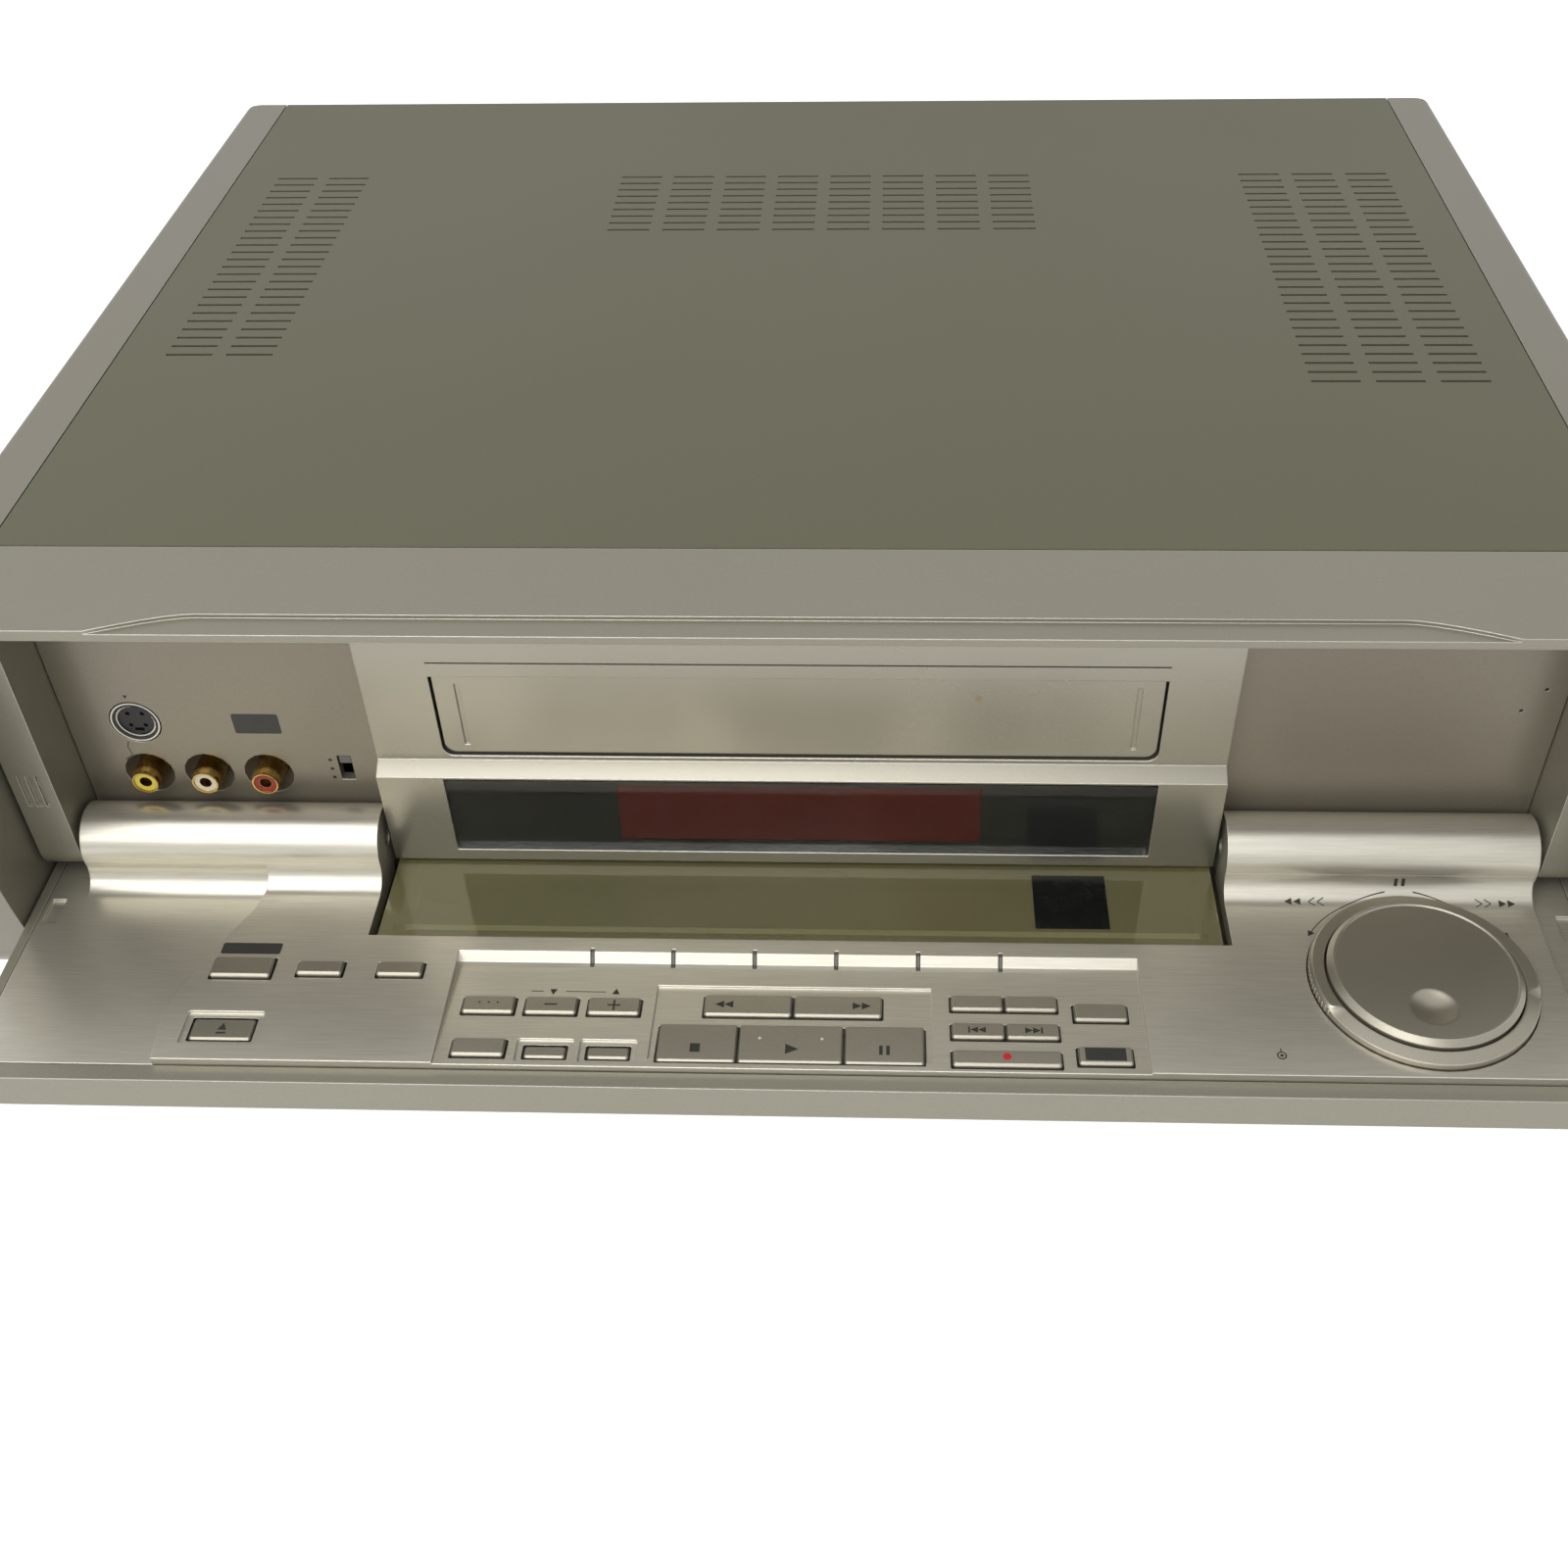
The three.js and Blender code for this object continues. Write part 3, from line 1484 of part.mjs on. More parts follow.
function makeInnerPanel() {
  const side = flapHalf - panelSide - seatGap;
  const land = block(-side, side, -plateFront, 0, panelUnder, landLevel);
  const raised = alongZ(plateOutline(), panelUnder, raisedLevel, 4);
  const barrels = [makeBarrel(plateRight), mirrored(makeBarrel(plateLeftRoot))];
  const windowHole = block(
    -barrelInner,
    barrelInner,
    -flapWindowFront - seatGap,
    barrelRadius,
    panelUnder - cutOverrun,
    0,
  );
  const sunkBlock = alongX(
    outline([
      [-blockRear, trayFloor(-blockRear) - blockSunk],
      [-blockFront, trayFloor(-blockFront) - blockSunk],
      [-blockFront, 0],
      [-blockRear, 0],
    ]),
    -blockHalfWidth,
    blockHalfWidth,
  );
  const holes = keys.map((key) =>
    block(
      key.x - key.width / 2 - keyClearance,
      key.x + key.width / 2 + keyClearance,
      key.y - key.depth / 2 - keyClearance,
      key.y + key.depth / 2 + keyClearance,
      panelUnder - cutOverrun,
      0,
    ),
  );
  const hoods = keys
    .filter((key) => key.hooded)
    .map((key) =>
      alongZ(
        roundedRectangle(
          key.x,
          key.y,
          key.width + 2 * hoodMargin,
          key.depth + 2 * hoodMargin,
          keyCorner,
        ),
        keyFloor(key) - hoodDepth,
        0,
        2,
      ),
    );
  const well = post(wellRadius, dialX, -dialY, panelUnder - cutOverrun, 0, ringSides);
  const slots = indicatorXs.map((x) =>
    block(
      x - indicatorWidth / 2,
      x + indicatorWidth / 2,
      -indicatorRear - indicatorLength,
      -indicatorRear,
      panelUnder - cutOverrun,
      0,
    ),
  );
  const plate = join([land, raised, ...barrels]);
  const pinRadius = hingePinRadius + seatGap;
  const pins = barX(pinRadius, barrelInner - cutOverrun, barrelOuter + cutOverrun, 0, 0, 16);
  const catchEdge = side - catchPocketInset;
  const catchPocket = block(
    catchEdge - catchPocketWidth,
    catchEdge,
    -catchPocketRear - catchPocketLength,
    -catchPocketRear,
    landLevel - catchPocketDepth,
    0,
  );
  const pockets = [windowHole, makeTrayHollow(0), sunkBlock, catchPocket, mirrored(catchPocket)];
  const bores = [...holes, well, ...slots, pins, mirrored(pins)];
  return cut(plate, [...pockets, ...hoods, ...bores]);
}
piece("flap_inner_panel", makeInnerPanel(), "satinMetal", flap);

// A key: a chamfered cap, a flange that keeps it under the panel and a stem
function makeKey(key) {
  const floor = keyFloor(key);
  const top = floor + (key.hooded ? hoodedRise - hoodDepth : keyRise);
  const flangeTop = panelUnder - seatGap;
  const cap = alongZ(
    roundedRectangle(key.x, key.y, key.width, key.depth, keyCorner),
    flangeTop - keyFlangeThickness,
    top,
    1,
    keyChamfer,
  );
  const flange = block(
    key.x - key.width / 2,
    key.x + key.width / 2,
    key.y - key.depth / 2 - keyFlange,
    key.y + key.depth / 2 + keyFlange,
    flangeTop - keyFlangeThickness,
    flangeTop,
  );
  const stem = block(
    key.x - keyStemWidth / 2,
    key.x + keyStemWidth / 2,
    key.y - keyStemWidth / 2,
    key.y + keyStemWidth / 2,
    flangeTop - keyFlangeThickness - keyStem,
    flangeTop - keyFlangeThickness,
  );
  return join([cap, flange, stem]);
}
keys.forEach((key) => piece(key.name, makeKey(key), "keySilver", flap));

// Hinge pins: pressed in the barrels, running in the pillars
function makeHingePin() {
  const end = recessHalfWidth + hingePinEngagement;
  return barX(hingePinRadius, barrelOuter - barrelRadius, end, 0, 0, 16);
}
piece("hinge_pin_right", makeHingePin(), "zincSteel", flap);
piece("hinge_pin_left", mirrored(makeHingePin()), "zincSteel", flap);

// The flap's window is a tunnel: an inner sheet, an outer one in the arc and two walls between them.
function makeFlapWindow() {
  const top = raisedLevel - windowSetback;
  const under = top - flapWindowSheet;
  const sheet = block(-flapWindowHalf, flapWindowHalf, -flapWindowFront, flapWindowRear, under, top);
  const half = flapWindowHalf - flapWindowLip - seatGap;
  const front = -flapWindowFront + flapWindowLip + seatGap;
  const rear = flapWindowRear - seatGap;
  const frontFoot = flapUnder(-front, flapInset);
  const rearFoot = flapUnder(-rear, flapInset);
  const tunnel = alongX(
    outline([
      [front, frontFoot],
      [rear, rearFoot],
      [rear, top - flapWindowSheet / 2],
      [front, top - flapWindowSheet / 2],
    ]),
    -half,
    half,
  );
  const inside = alongX(
    outline([
      [front + flapWindowSheet, frontFoot + flapWindowSheet],
      [rear - flapWindowSheet, rearFoot + flapWindowSheet],
      [rear - flapWindowSheet, under],
      [front + flapWindowSheet, under],
    ]),
    -half - cutOverrun,
    half + cutOverrun,
  );
  return join([sheet, cut(tunnel, [inside])]);
}
piece("flap_window", makeFlapWindow(), "oliveGlass", flap);

// One bar under the panel carries a light guide for each indicator slot.
function makeLightGuides() {
  const reach = ((indicatorCount - 1) / 2) * indicatorPitch + indicatorWidth / 2 + guideBarMargin;
  const top = panelUnder - seatGap;
  const bar = block(
    -reach,
    reach,
    -indicatorRear - indicatorLength - guideBarMargin,
    -indicatorRear + guideBarMargin,
    top - guideBarDepth,
    top,
  );
  const teeth = indicatorXs.map((x) =>
    block(
      x - indicatorWidth / 2 + indicatorGap,
      x + indicatorWidth / 2 - indicatorGap,
      -indicatorRear - indicatorLength + indicatorGap,
      -indicatorRear - indicatorGap,
      top,
      raisedLevel - indicatorGap,
    ),
  );
  return cut(join([bar, ...teeth]), [makeTrayHollow(-indicatorGap)]);
}
piece("light_guide_bar", makeLightGuides(), "clearPlastic", flap);

// Shuttle ring with a sloped shoulder
function makeShuttleRing() {
  const top = raisedLevel + ringRise;
  return spun(
    [
      [ringInner, ringBottom],
      [ringRadius, ringBottom],
      [ringRadius, top - ringBevelRise],
      [ringRadius - ringBevelRun, top],
      [ringInner, top],
      [ringInner, ringBottom],
    ],
    dialX,
    -dialY,
    0,
    ringSides,
  );
}
piece("shuttle_ring", makeShuttleRing(), "keySilver", flap);

function makeJogDial() {
  const top = raisedLevel + jogRise;
  const disc = spun(
    [
      [0, ringBottom],
      [jogRadius, ringBottom],
      [jogRadius, top - jogBevel],
      [jogRadius - jogBevel, top],
      [jogRadius - jogBevel - jogRim, top],
      [jogRadius - jogBevel - jogRim, top - jogDish],
      [0, top - jogDish],
    ],
    dialX,
    -dialY,
    0,
    ringSides,
  );
  const dimpleBall = (dimpleRadius ** 2 + dimpleDepth ** 2) / (2 * dimpleDepth);
  const dimple = new THREE.SphereGeometry(dimpleBall, 24, 18);
  const dimpleCut = solid(
    dimple.translate(dialX, -dialY - dimpleOffset, top - jogDish - dimpleDepth + dimpleBall),
  );
  const bore = post(
    spindleRadius + spindleGap,
    dialX,
    -dialY,
    ringBottom - cutOverrun,
    raisedLevel + spindleRise + seatGap,
    20,
  );
  return cut(disc, [dimpleCut, bore]);
}
piece("jog_dial", makeJogDial(), "keySilver", flap);

// The encoder under the dial carries the spindle.
function makeEncoder() {
  const top = ringBottom - seatGap;
  return spun(
    [
      [0, top - encoderDepth],
      [encoderRadius, top - encoderDepth],
      [encoderRadius, top],
      [spindleRadius, top],
      [spindleRadius, raisedLevel + spindleRise],
      [0, raisedLevel + spindleRise],
    ],
    dialX,
    -dialY,
    0,
    20,
  );
}
piece("dial_encoder", makeEncoder(), "blackPlastic", flap);

const rearFace = rearPanelY;
const rearBlockZ = rearBlockUpShare * overallHeight;
const inletX = inletAcrossShare * halfWidth;
const inletZ = inletUpShare * overallHeight;
const antennaX = antennaAcrossShare * halfWidth;
const antennaZ = antennaUpShare * overallHeight;
const rearBack = rearPanelY - chassisSheet;

function makeRearPanel() {
  const bottom = footHeight;
  const top = overallHeight - coverSheet - seatGap;
  const sheet = block(-panHalf, panHalf, rearBack, rearFace, bottom, top);
  const through = (x, z, width, height) =>
    block(
      x - width / 2 - seatGap,
      x + width / 2 + seatGap,
      rearBack - cutOverrun,
      rearFace + cutOverrun,
      z - height / 2 - seatGap,
      z + height / 2 + seatGap,
    );
  return cut(sheet, [
    through(0, rearBlockZ, rearBlockWidth, rearBlockHeight),
    through(inletX, inletZ, inletWidth, inletHeight),
    through(antennaX, antennaZ, antennaBaseWidth, antennaBaseHeight),
  ]);
}
piece("rear_panel", makeRearPanel(), "blackSteel", housing);

// A block of phono sockets in rows, each with its bore
function makeRearJacks() {
  const face = rearFace + rearBlockProud;
  const base = block(
    -rearBlockWidth / 2,
    rearBlockWidth / 2,
    rearFace - rearBlockDepth,
    face,
    rearBlockZ - rearBlockHeight / 2,
    rearBlockZ + rearBlockHeight / 2,
  );
  const barrels = [];
  const bores = [];
  for (let row = 0; row < rearJackRows; row += 1) {
    for (let column = 0; column < rearJackColumns; column += 1) {
      const x = (column - (rearJackColumns - 1) / 2) * rearJackPitchX;
      const z = rearBlockZ + (row - (rearJackRows - 1) / 2) * rearJackPitchZ;
      barrels.push(barY(phonoRadius, x, face - cutOverrun, rearFace + rearJackReach, z, 10));
      bores.push(barY(phonoBore, x, face, rearFace + rearJackReach + cutOverrun, z, 6));
    }
  }
  return cut(join([base, ...barrels]), bores);
}
piece("rear_jack_block", makeRearJacks(), "blackPlastic", housing);

// The power inlet: a flanged shell with two contact pins in its cavity
function makeInlet() {
  const middle = (width, height, y0, y1) =>
    alongY(roundedRectangle(inletX, inletZ, width, height, inletCorner), y0, y1, 3);
  const body = middle(inletWidth, inletHeight, rearFace - inletDepth, rearFace + inletProud);
  const flange = middle(
    inletWidth + 2 * inletFlange,
    inletHeight + 2 * inletFlange,
    rearFace + seatGap,
    rearFace + inletProud,
  );
  const cavity = middle(
    inletWidth - 2 * inletFlange,
    inletHeight - 2 * inletFlange,
    rearFace + inletProud - inletCavityDepth,
    rearFace + inletProud + cutOverrun,
  );
  const pins = [-1, 1].map((side) =>
    barY(
      inletPinRadius,
      inletX + (side * inletPinSpacing) / 2,
      rearFace + inletProud - inletCavityDepth - cutOverrun,
      rearFace + inletProud - inletCavityDepth + inletPinLength,
      inletZ,
      10,
    ),
  );
  return join([cut(join([body, flange]), [cavity]), ...pins]);
}
piece("power_inlet", makeInlet(), "blackPlastic", housing);

// Two screw-on aerial terminals on one tuner can
function makeAntenna() {
  const can = block(
    antennaX - antennaBaseWidth / 2,
    antennaX + antennaBaseWidth / 2,
    rearFace - antennaDepth,
    rearFace + panelGap,
    antennaZ - antennaBaseHeight / 2,
    antennaZ + antennaBaseHeight / 2,
  );
  const places = [-1, 1].map((side) => antennaZ + (side * antennaPitch) / 2);
  const tipEnd = rearFace + antennaReach;
  const tips = places.map((z) => barY(antennaRadius, antennaX, rearFace, tipEnd, z, 12));
  const bores = places.map((z) => barY(antennaBore, antennaX, rearFace, tipEnd + cutOverrun, z, 6));
  return cut(join([can, ...tips]), bores);
}
piece("aerial_terminals", makeAntenna(), "zincSteel", housing);

// Cassette carriage: a sheet cradle with side walls, shelves, a bridge and two guide pins a side
const panFloor = footHeight + chassisSheet;
const deckTop = deckTopShare * overallHeight;
const carriageHalf = cassetteWidth / 2 + cassetteGap + carriageSheet;
const carriageTop = doorBottom + cassetteHeight + cassetteGap + carriageSheet;
const carriageBottom = doorBottom - carriageSheet;
const carriageRear = carriageFront + cassetteLength;
const guidePinZ = (carriageTop + carriageBottom) / 2;
const guidePinYs = guidePinShares.map((share) => carriageFront + share * cassetteLength);
const deckSideInner = carriageHalf + deckSideGap;

function makeCarriage() {
  const outer = block(
    -carriageHalf,
    carriageHalf,
    carriageFront,
    carriageRear + carriageSheet,
    carriageBottom,
    carriageTop,
  );
  const inner = block(
    -carriageHalf + carriageSheet,
    carriageHalf - carriageSheet,
    carriageFront - cutOverrun,
    carriageRear,
    carriageBottom + carriageSheet,
    carriageTop - carriageSheet,
  );
  const openFloor = block(
    -carriageHalf + carriageShelf,
    carriageHalf - carriageShelf,
    carriageFront + carriageShelf,
    carriageRear + panelGap + carriageSheet,
    carriageBottom - cutOverrun,
    carriageBottom + carriageSheet + cutOverrun,
  );
  const openRoof = block(
    -carriageHalf + carriageShelf,
    carriageHalf - carriageShelf,
    carriageFront + carriageBridge,
    carriageRear - carriageBridge,
    carriageTop - carriageSheet - cutOverrun,
    carriageTop + cutOverrun,
  );
  // The rear wall is only a low lip that stops the cassette.
  const aboveLip = block(
    -carriageHalf + carriageSheet,
    carriageHalf - carriageSheet,
    carriageRear - cutOverrun,
    carriageRear + carriageSheet + cutOverrun,
    carriageBottom + carriageLipShare * cassetteHeight,
    carriageTop - carriageSheet,
  );
  const pinStart = carriageHalf - carriageSheet;
  const pins = guidePinYs.map((y) =>
    barX(guidePinRadius, pinStart, carriageHalf + guidePinReach, y, guidePinZ, 12),
  );
  const shell = cut(outer, [inner, openFloor, openRoof, aboveLip]);
  return join([shell, ...pins, ...pins.map(mirrored)]);
}
piece("cassette_carriage", makeCarriage(), "zincSteel", housing);

// The drum leans back: its parts are built upright and then tilted about the deck's level.
const tilt = THREE.MathUtils.degToRad(drumTilt);
const tilted = (body) =>
  body
    .rotate([THREE.MathUtils.radToDeg(tilt), 0, 0])
    .translate([0, drumY, deckTop]);

// Tape deck: a plate on legs with side walls, reel tables, posts and the fixed half of the drum
function makeTapeDeck() {
  const plate = block(
    -deckHalfWidth,
    deckHalfWidth,
    deckFront,
    deckRear,
    deckTop - deckSheet,
    deckTop,
  );
  const legX = deckHalfWidth - deckLegInset;
  const legs = [deckFront + deckLegInset, deckRear - deckLegInset].map((y) =>
    post(deckLegRadius, legX, y, panFloor + seatGap, deckTop - deckSheet / 2, 10),
  );
  const wall = block(
    deckSideInner,
    deckSideInner + deckSheet,
    deckSideFront,
    deckSideRear,
    deckTop - deckSheet / 2,
    guidePinZ + guidePinRadius + deckSideMargin,
  );
  const slotHalf = guidePinRadius + guidePinGap;
  const slots = guidePinYs.map((y) =>
    block(
      deckSideInner - cutOverrun,
      deckSideInner + deckSheet + cutOverrun,
      y - slotHalf,
      y + slotHalf,
      guidePinZ - carriageDrop - slotHalf,
      guidePinZ + slotHalf,
    ),
  );
  const side = cut(wall, slots);
  const reel = spun(
    [
      [0, deckTop - deckSheet / 2],
      [reelRadius, deckTop - deckSheet / 2],
      [reelRadius, deckTop + reelHeight],
      [reelHubRadius, deckTop + reelHeight],
      [reelHubRadius, deckTop + reelHubHeight],
      [0, deckTop + reelHubHeight],
    ],
    reelSpacing / 2,
    reelY,
    0,
    20,
  );
  const root = deckTop - deckSheet / 2;
  const capstan = post(capstanRadius, capstanX, capstanY, root, deckTop + capstanHeight, 10);
  const guides = [-postReach, postReach].map((x) =>
    post(postRadius, x, drumY - postRadius, root, deckTop + postHeight, 12),
  );
  const lowerDrum = tilted(
    spun(
      [
        [0, -drumFootDrop],
        [drumRadius - drumBevel, -drumFootDrop],
        [drumRadius - drumBevel, drumBevel],
        [drumRadius, 2 * drumBevel],
        [drumRadius, drumLowerHeight],
        [drumShaftRadius, drumLowerHeight],
        [drumShaftRadius, drumLowerHeight + drumUpperHeight],
        [0, drumLowerHeight + drumUpperHeight],
      ],
      0,
      0,
      0,
      32,
    ),
  );
  return join([
    plate,
    ...legs,
    ...legs.map(mirrored),
    side,
    mirrored(side),
    reel,
    mirrored(reel),
    capstan,
    ...guides,
    lowerDrum,
  ]);
}
piece("tape_deck", makeTapeDeck(), "zincSteel", housing);

function makeHeadDrum() {
  const bottom = drumLowerHeight + drumGap;
  const top = bottom + drumUpperHeight;
  return tilted(
    spun(
      [
        [drumShaftRadius + seatGap, bottom],
        [drumRadius, bottom],
        [drumRadius, top - drumBevel],
        [drumRadius - drumBevel, top],
        [drumWellRadius, top],
        [drumWellRadius, top - drumWellDepth],
        [drumShaftRadius + seatGap, top - drumWellDepth],
        [drumShaftRadius + seatGap, bottom],
      ],
      0,
      0,
      0,
      32,
    ),
  );
}
piece("head_drum", makeHeadDrum(), "polishedMetal", housing);

// Main board: two wings joined at the rear, on legs, with the parts that stand on it
function makeMainBoard() {
  const under = panFloor + boardLift;
  const top = under + boardSheet;
  const outer = panHalf - boardSideGap;
  const boardInner = deckHalfWidth + boardInnerGap;
  const wing = outer - boardInner;
  const rear = rearPanelY - boardRearGap;
  const sheet = block(-outer, outer, boardFront, rear, under, top);
  const gap = block(
    -boardInner,
    boardInner,
    boardFront - cutOverrun,
    rear - boardCrossDepth,
    under - cutOverrun,
    top + cutOverrun,
  );
  const legs = [];
  for (const x of [boardInner + boardLegInset, outer - boardLegInset]) {
    for (const y of [boardFront + boardLegInset, rear - boardLegInset]) {
      legs.push(post(boardLegRadius, x, y, panFloor + seatGap, under + boardSheet / 2, 8));
    }
  }
  const seat = top - boardSheet / 2;
  const standing = (x, y, width, depth, height) =>
    block(x - width / 2, x + width / 2, y - depth / 2, y + depth / 2, seat, top + height);
  const coreX = outer - coreInset - coreWidth / 2;
  const core = standing(coreX, coreY, coreWidth, coreDepth, coreHeight);
  const coil = standing(
    coreX,
    coreY,
    coreWidth - 2 * coilInset,
    coreDepth + 2 * coilInset,
    coreHeight - coilInset,
  );
  const capacitors = [];
  for (let place = 0; place < capacitorCount; place += 1) {
    const x = outer - coilInset - capacitorRadius - place * capacitorPitchShare * wing;
    capacitors.push(post(capacitorRadius, x, capacitorRow, seat, top + capacitorHeight, 14));
  }
  const sinkWidth = sinkShare * wing;
  const sinkX = outer - coilInset - sinkWidth / 2;
  const fins = [standing(sinkX, sinkRow, sinkWidth, sinkThickness, sinkHeight)];
  for (let fin = 0; fin < sinkFinCount; fin += 1) {
    const x = sinkX + ((fin + 0.5) / sinkFinCount - 0.5) * sinkWidth;
    fins.push(standing(x, sinkRow + sinkFinDepth / 2, sinkThickness, sinkFinDepth, sinkHeight));
  }
  const tuner = standing(
    -outer + coilInset + tunerWidth / 2,
    rear - coilInset - tunerDepth / 2,
    tunerWidth,
    tunerDepth,
    tunerHeight,
  );
  const chips = [];
  for (let chip = 0; chip < chipCount; chip += 1) {
    const x = -(boardInner + outer) / 2;
    chips.push(standing(x, boardFront + (chip + 1) * chipPitch, chipSize, chipSize, chipHeight));
  }
  return join([
    cut(sheet, [gap]),
    ...legs,
    ...legs.map(mirrored),
    core,
    coil,
    ...capacitors,
    ...fins,
    tuner,
    ...chips,
  ]);
}
piece("main_board", makeMainBoard(), "greenBoard", housing);

// The part's origin is midway between the flap's free edge and the rear sockets, on the floor.
recorder.children.forEach((group) => {
  group.position.y += (hingeReach + flapReach - (rearPanelY + rearJackReach)) / 2;
});

export default recorder;
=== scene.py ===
"""The looks of a video cassette recorder with its control flap folded down."""

import json
import math

import bmesh
import bpy
import numpy as np
from mathutils import Matrix, Vector
from mathutils.bvhtree import BVHTree

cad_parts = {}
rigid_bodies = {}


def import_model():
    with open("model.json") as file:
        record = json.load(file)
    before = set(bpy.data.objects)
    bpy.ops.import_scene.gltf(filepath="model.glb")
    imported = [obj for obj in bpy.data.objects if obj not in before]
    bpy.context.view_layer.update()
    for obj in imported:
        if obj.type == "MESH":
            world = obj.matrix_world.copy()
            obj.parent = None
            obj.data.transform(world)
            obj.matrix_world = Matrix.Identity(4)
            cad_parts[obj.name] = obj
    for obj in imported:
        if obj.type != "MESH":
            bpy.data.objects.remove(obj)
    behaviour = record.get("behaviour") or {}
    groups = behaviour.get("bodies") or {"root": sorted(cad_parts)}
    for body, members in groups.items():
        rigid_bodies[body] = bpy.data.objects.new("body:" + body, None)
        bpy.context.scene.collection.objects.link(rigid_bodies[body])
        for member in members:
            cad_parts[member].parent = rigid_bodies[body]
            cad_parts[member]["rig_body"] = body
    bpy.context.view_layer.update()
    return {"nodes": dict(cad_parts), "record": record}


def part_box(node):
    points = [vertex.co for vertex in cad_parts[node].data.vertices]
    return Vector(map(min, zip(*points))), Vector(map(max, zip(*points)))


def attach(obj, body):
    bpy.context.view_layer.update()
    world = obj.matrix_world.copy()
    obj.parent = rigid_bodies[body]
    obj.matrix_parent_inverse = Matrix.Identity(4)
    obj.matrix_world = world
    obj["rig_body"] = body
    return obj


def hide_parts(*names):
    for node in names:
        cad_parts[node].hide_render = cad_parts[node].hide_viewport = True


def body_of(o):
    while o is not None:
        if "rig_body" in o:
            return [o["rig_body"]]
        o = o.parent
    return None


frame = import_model()
nodes = frame["nodes"]

# Values are in millimetres and degrees; with MM they are in metres, and angles made by
# math.radians are in radians. Lamps, floor and camera are in metres.
MM = 0.001
JOIN_GAP = 0.002 * MM
SMOOTH_ANGLE = math.radians(32)
FLAT_ANGLE = math.radians(0.6)
WHITE = (1, 1, 1, 1)
LEFT, RIGHT, UP, DOWN = 180, 0, 90, -90

# Laying prints on a surface: rays start a metre off, and the print lies just off the surface
FAR = 1.0
WAYS = {"top": (0, 0, -1), "front": (0, 1, 0)}
PRINT_LIFT = 0.02 * MM
PROBES = 40
THIN_LINE = 0.27
ARROW_SPREAD = 128

# Prints on the flap's inner panel and its keys
STUD_PLACE = (8.0, 1.6)
STUD_RADIUS = 0.4
SMALL_ARROW = 1.3
PAIR_SHIFT = 0.3
PAIR_RISE = 1.9
PAIR_LINE = (3, 6.2)
POWER_PLATE_SHIFT = (0.4, 2.7)
POWER_PLATE_DEEP = 4.0
POWER_PLATE_CORNER = 0.6
ARC_GAP = 1.9
ARC_TURNS = (7, 57)
ARC_POINTS = 15
PAUSE_SHIFT = (1.0, 2.4)
PAUSE_BAR = (0.9, 3.4)
DIAL_ROW_DROP = 0.8
DIAL_ARROW = 1.25
SOLID_ARROWS = (27.6, 30.0)
OPEN_ARROWS = (21.4, 23.8)
OPEN_HALF = (0.9, 1.1)
JOG_PLACE = (40.4, 25.2)
JOG_RING = (0.9, 1.25)
JOG_DOT = 0.45
JOG_TAIL = 2.3

# Painted shade: dark bands round the keys and over the door stand for the shade in their gaps
GAP_SHADE = 0.94
GAP_SHADE_START = 0.1
GAP_SHADE_CORNERS = (0.3, 0.5)
GAP_SHADE_PROBE = 0.6
DOOR_GAP_SHADE_LIFT = 0.32
DOOR_GAP_SHADE_INSET = 4.0
CROWN = 2.0 * MM

# Prints, cores and rims of the front sockets' panel
JACK_ARROW = 0.8
JACK_ARROW_RISE = 2.2
LEADER = ((-3.9, -6.9), (-4.6, -9.0), (-4.0, -12.0))
LEADER_END = (-5.6, 4.9)
SWITCH_DOTS = ((-4.0, -6.2), (-4.0, -3.0), (-4.0, 0.2))
SWITCH_DOT = (1.0, 0.9)
INPUT_PLATE = (-149.4, 82.9)
INPUT_PLATE_SIZE = (13.0, 7.0, 0.7)
CORE_INNER = 1.75
CORE_OUTER = 3.2
# Black discs down the sockets' bores are painted shade
BORE_MARGIN = 0.2
BORE_SINK = 4.0
JACK_RIM = (6.3, 6.75)
JACK_RIM_SPOT = 6.5
JACK_SHELL = (5.05, 5.5)
JACK_SHELL_SPOT = 5.3
DOOR_SPOT = (48.0, 98.0, 1.0)

# Windows
WINDOW_FIELD = (74.9, -143.8, 20.2, 20.4)
MASK_GAP = 0.1

# Jog dial and shuttle ring
ROUND_TURNS = 144
DIAL_ROWS = 62
DIAL_HEART = 0.02
DIAL_RIM = (1.4, 1.75, 2.0)
DIAL_DISH = 0.3
BORE_RADIUS = 3.15
BORE_GAP = 0.2
DIMPLE_PLACE = (-0.8, -12.6)
DIMPLE_RADIUS = 5.85
DIMPLE_DEPTH = 1.6
RING_WIDTH = 3.8
RING_EDGE = 0.3
CONE_START = -155
CONE_END = -10
CONE_EASE = 5
CONE_RUNS = (0.7, 3.2)
CONE_DROPS = (0.5, 1.1)
GRIP_SPANS = ((150, 206), (-14, 42))
GRIP_STEP = 3
GRIP_DROPS = (2.6, 0.85)
GRIP_PROUD = 0.15
GRIP_HALF = 0.4

# Rear: screws by (radius, proud of the panel), sleeves by (radius, depth below the socket's end)
SCREW_DOME = ((3.0, 0.0), (3.0, 0.5), (2.4, 1.0), (1.2, 1.3), (0.01, 1.35))
SCREW_SIDES = 16
SCREW_HALF = ((205, 116), (205, 24), (120, 116), (40, 116), (120, 24))
SCREW_PLACES = [(side * x, z) for side in (-1, 1) for x, z in SCREW_HALF]
# The dark crosses on the screw heads are painted shade of their recesses
CROSS_BAR = (3.0, 0.6)
CROSS_LIFT = 0.03
REAR_COLUMNS = 7
REAR_ROWS = 2
REAR_PITCH = (16.5, 20.0)
REAR_SINK = 0.05 * MM
REAR_SLEEVE = ((4.17, 6.2), (4.17, 0.25), (3.95, 0.01), (3.3, 0.01))
REAR_CORE = ((3.3, 0.01), (1.45, 0.01))
REAR_SIDES = 24

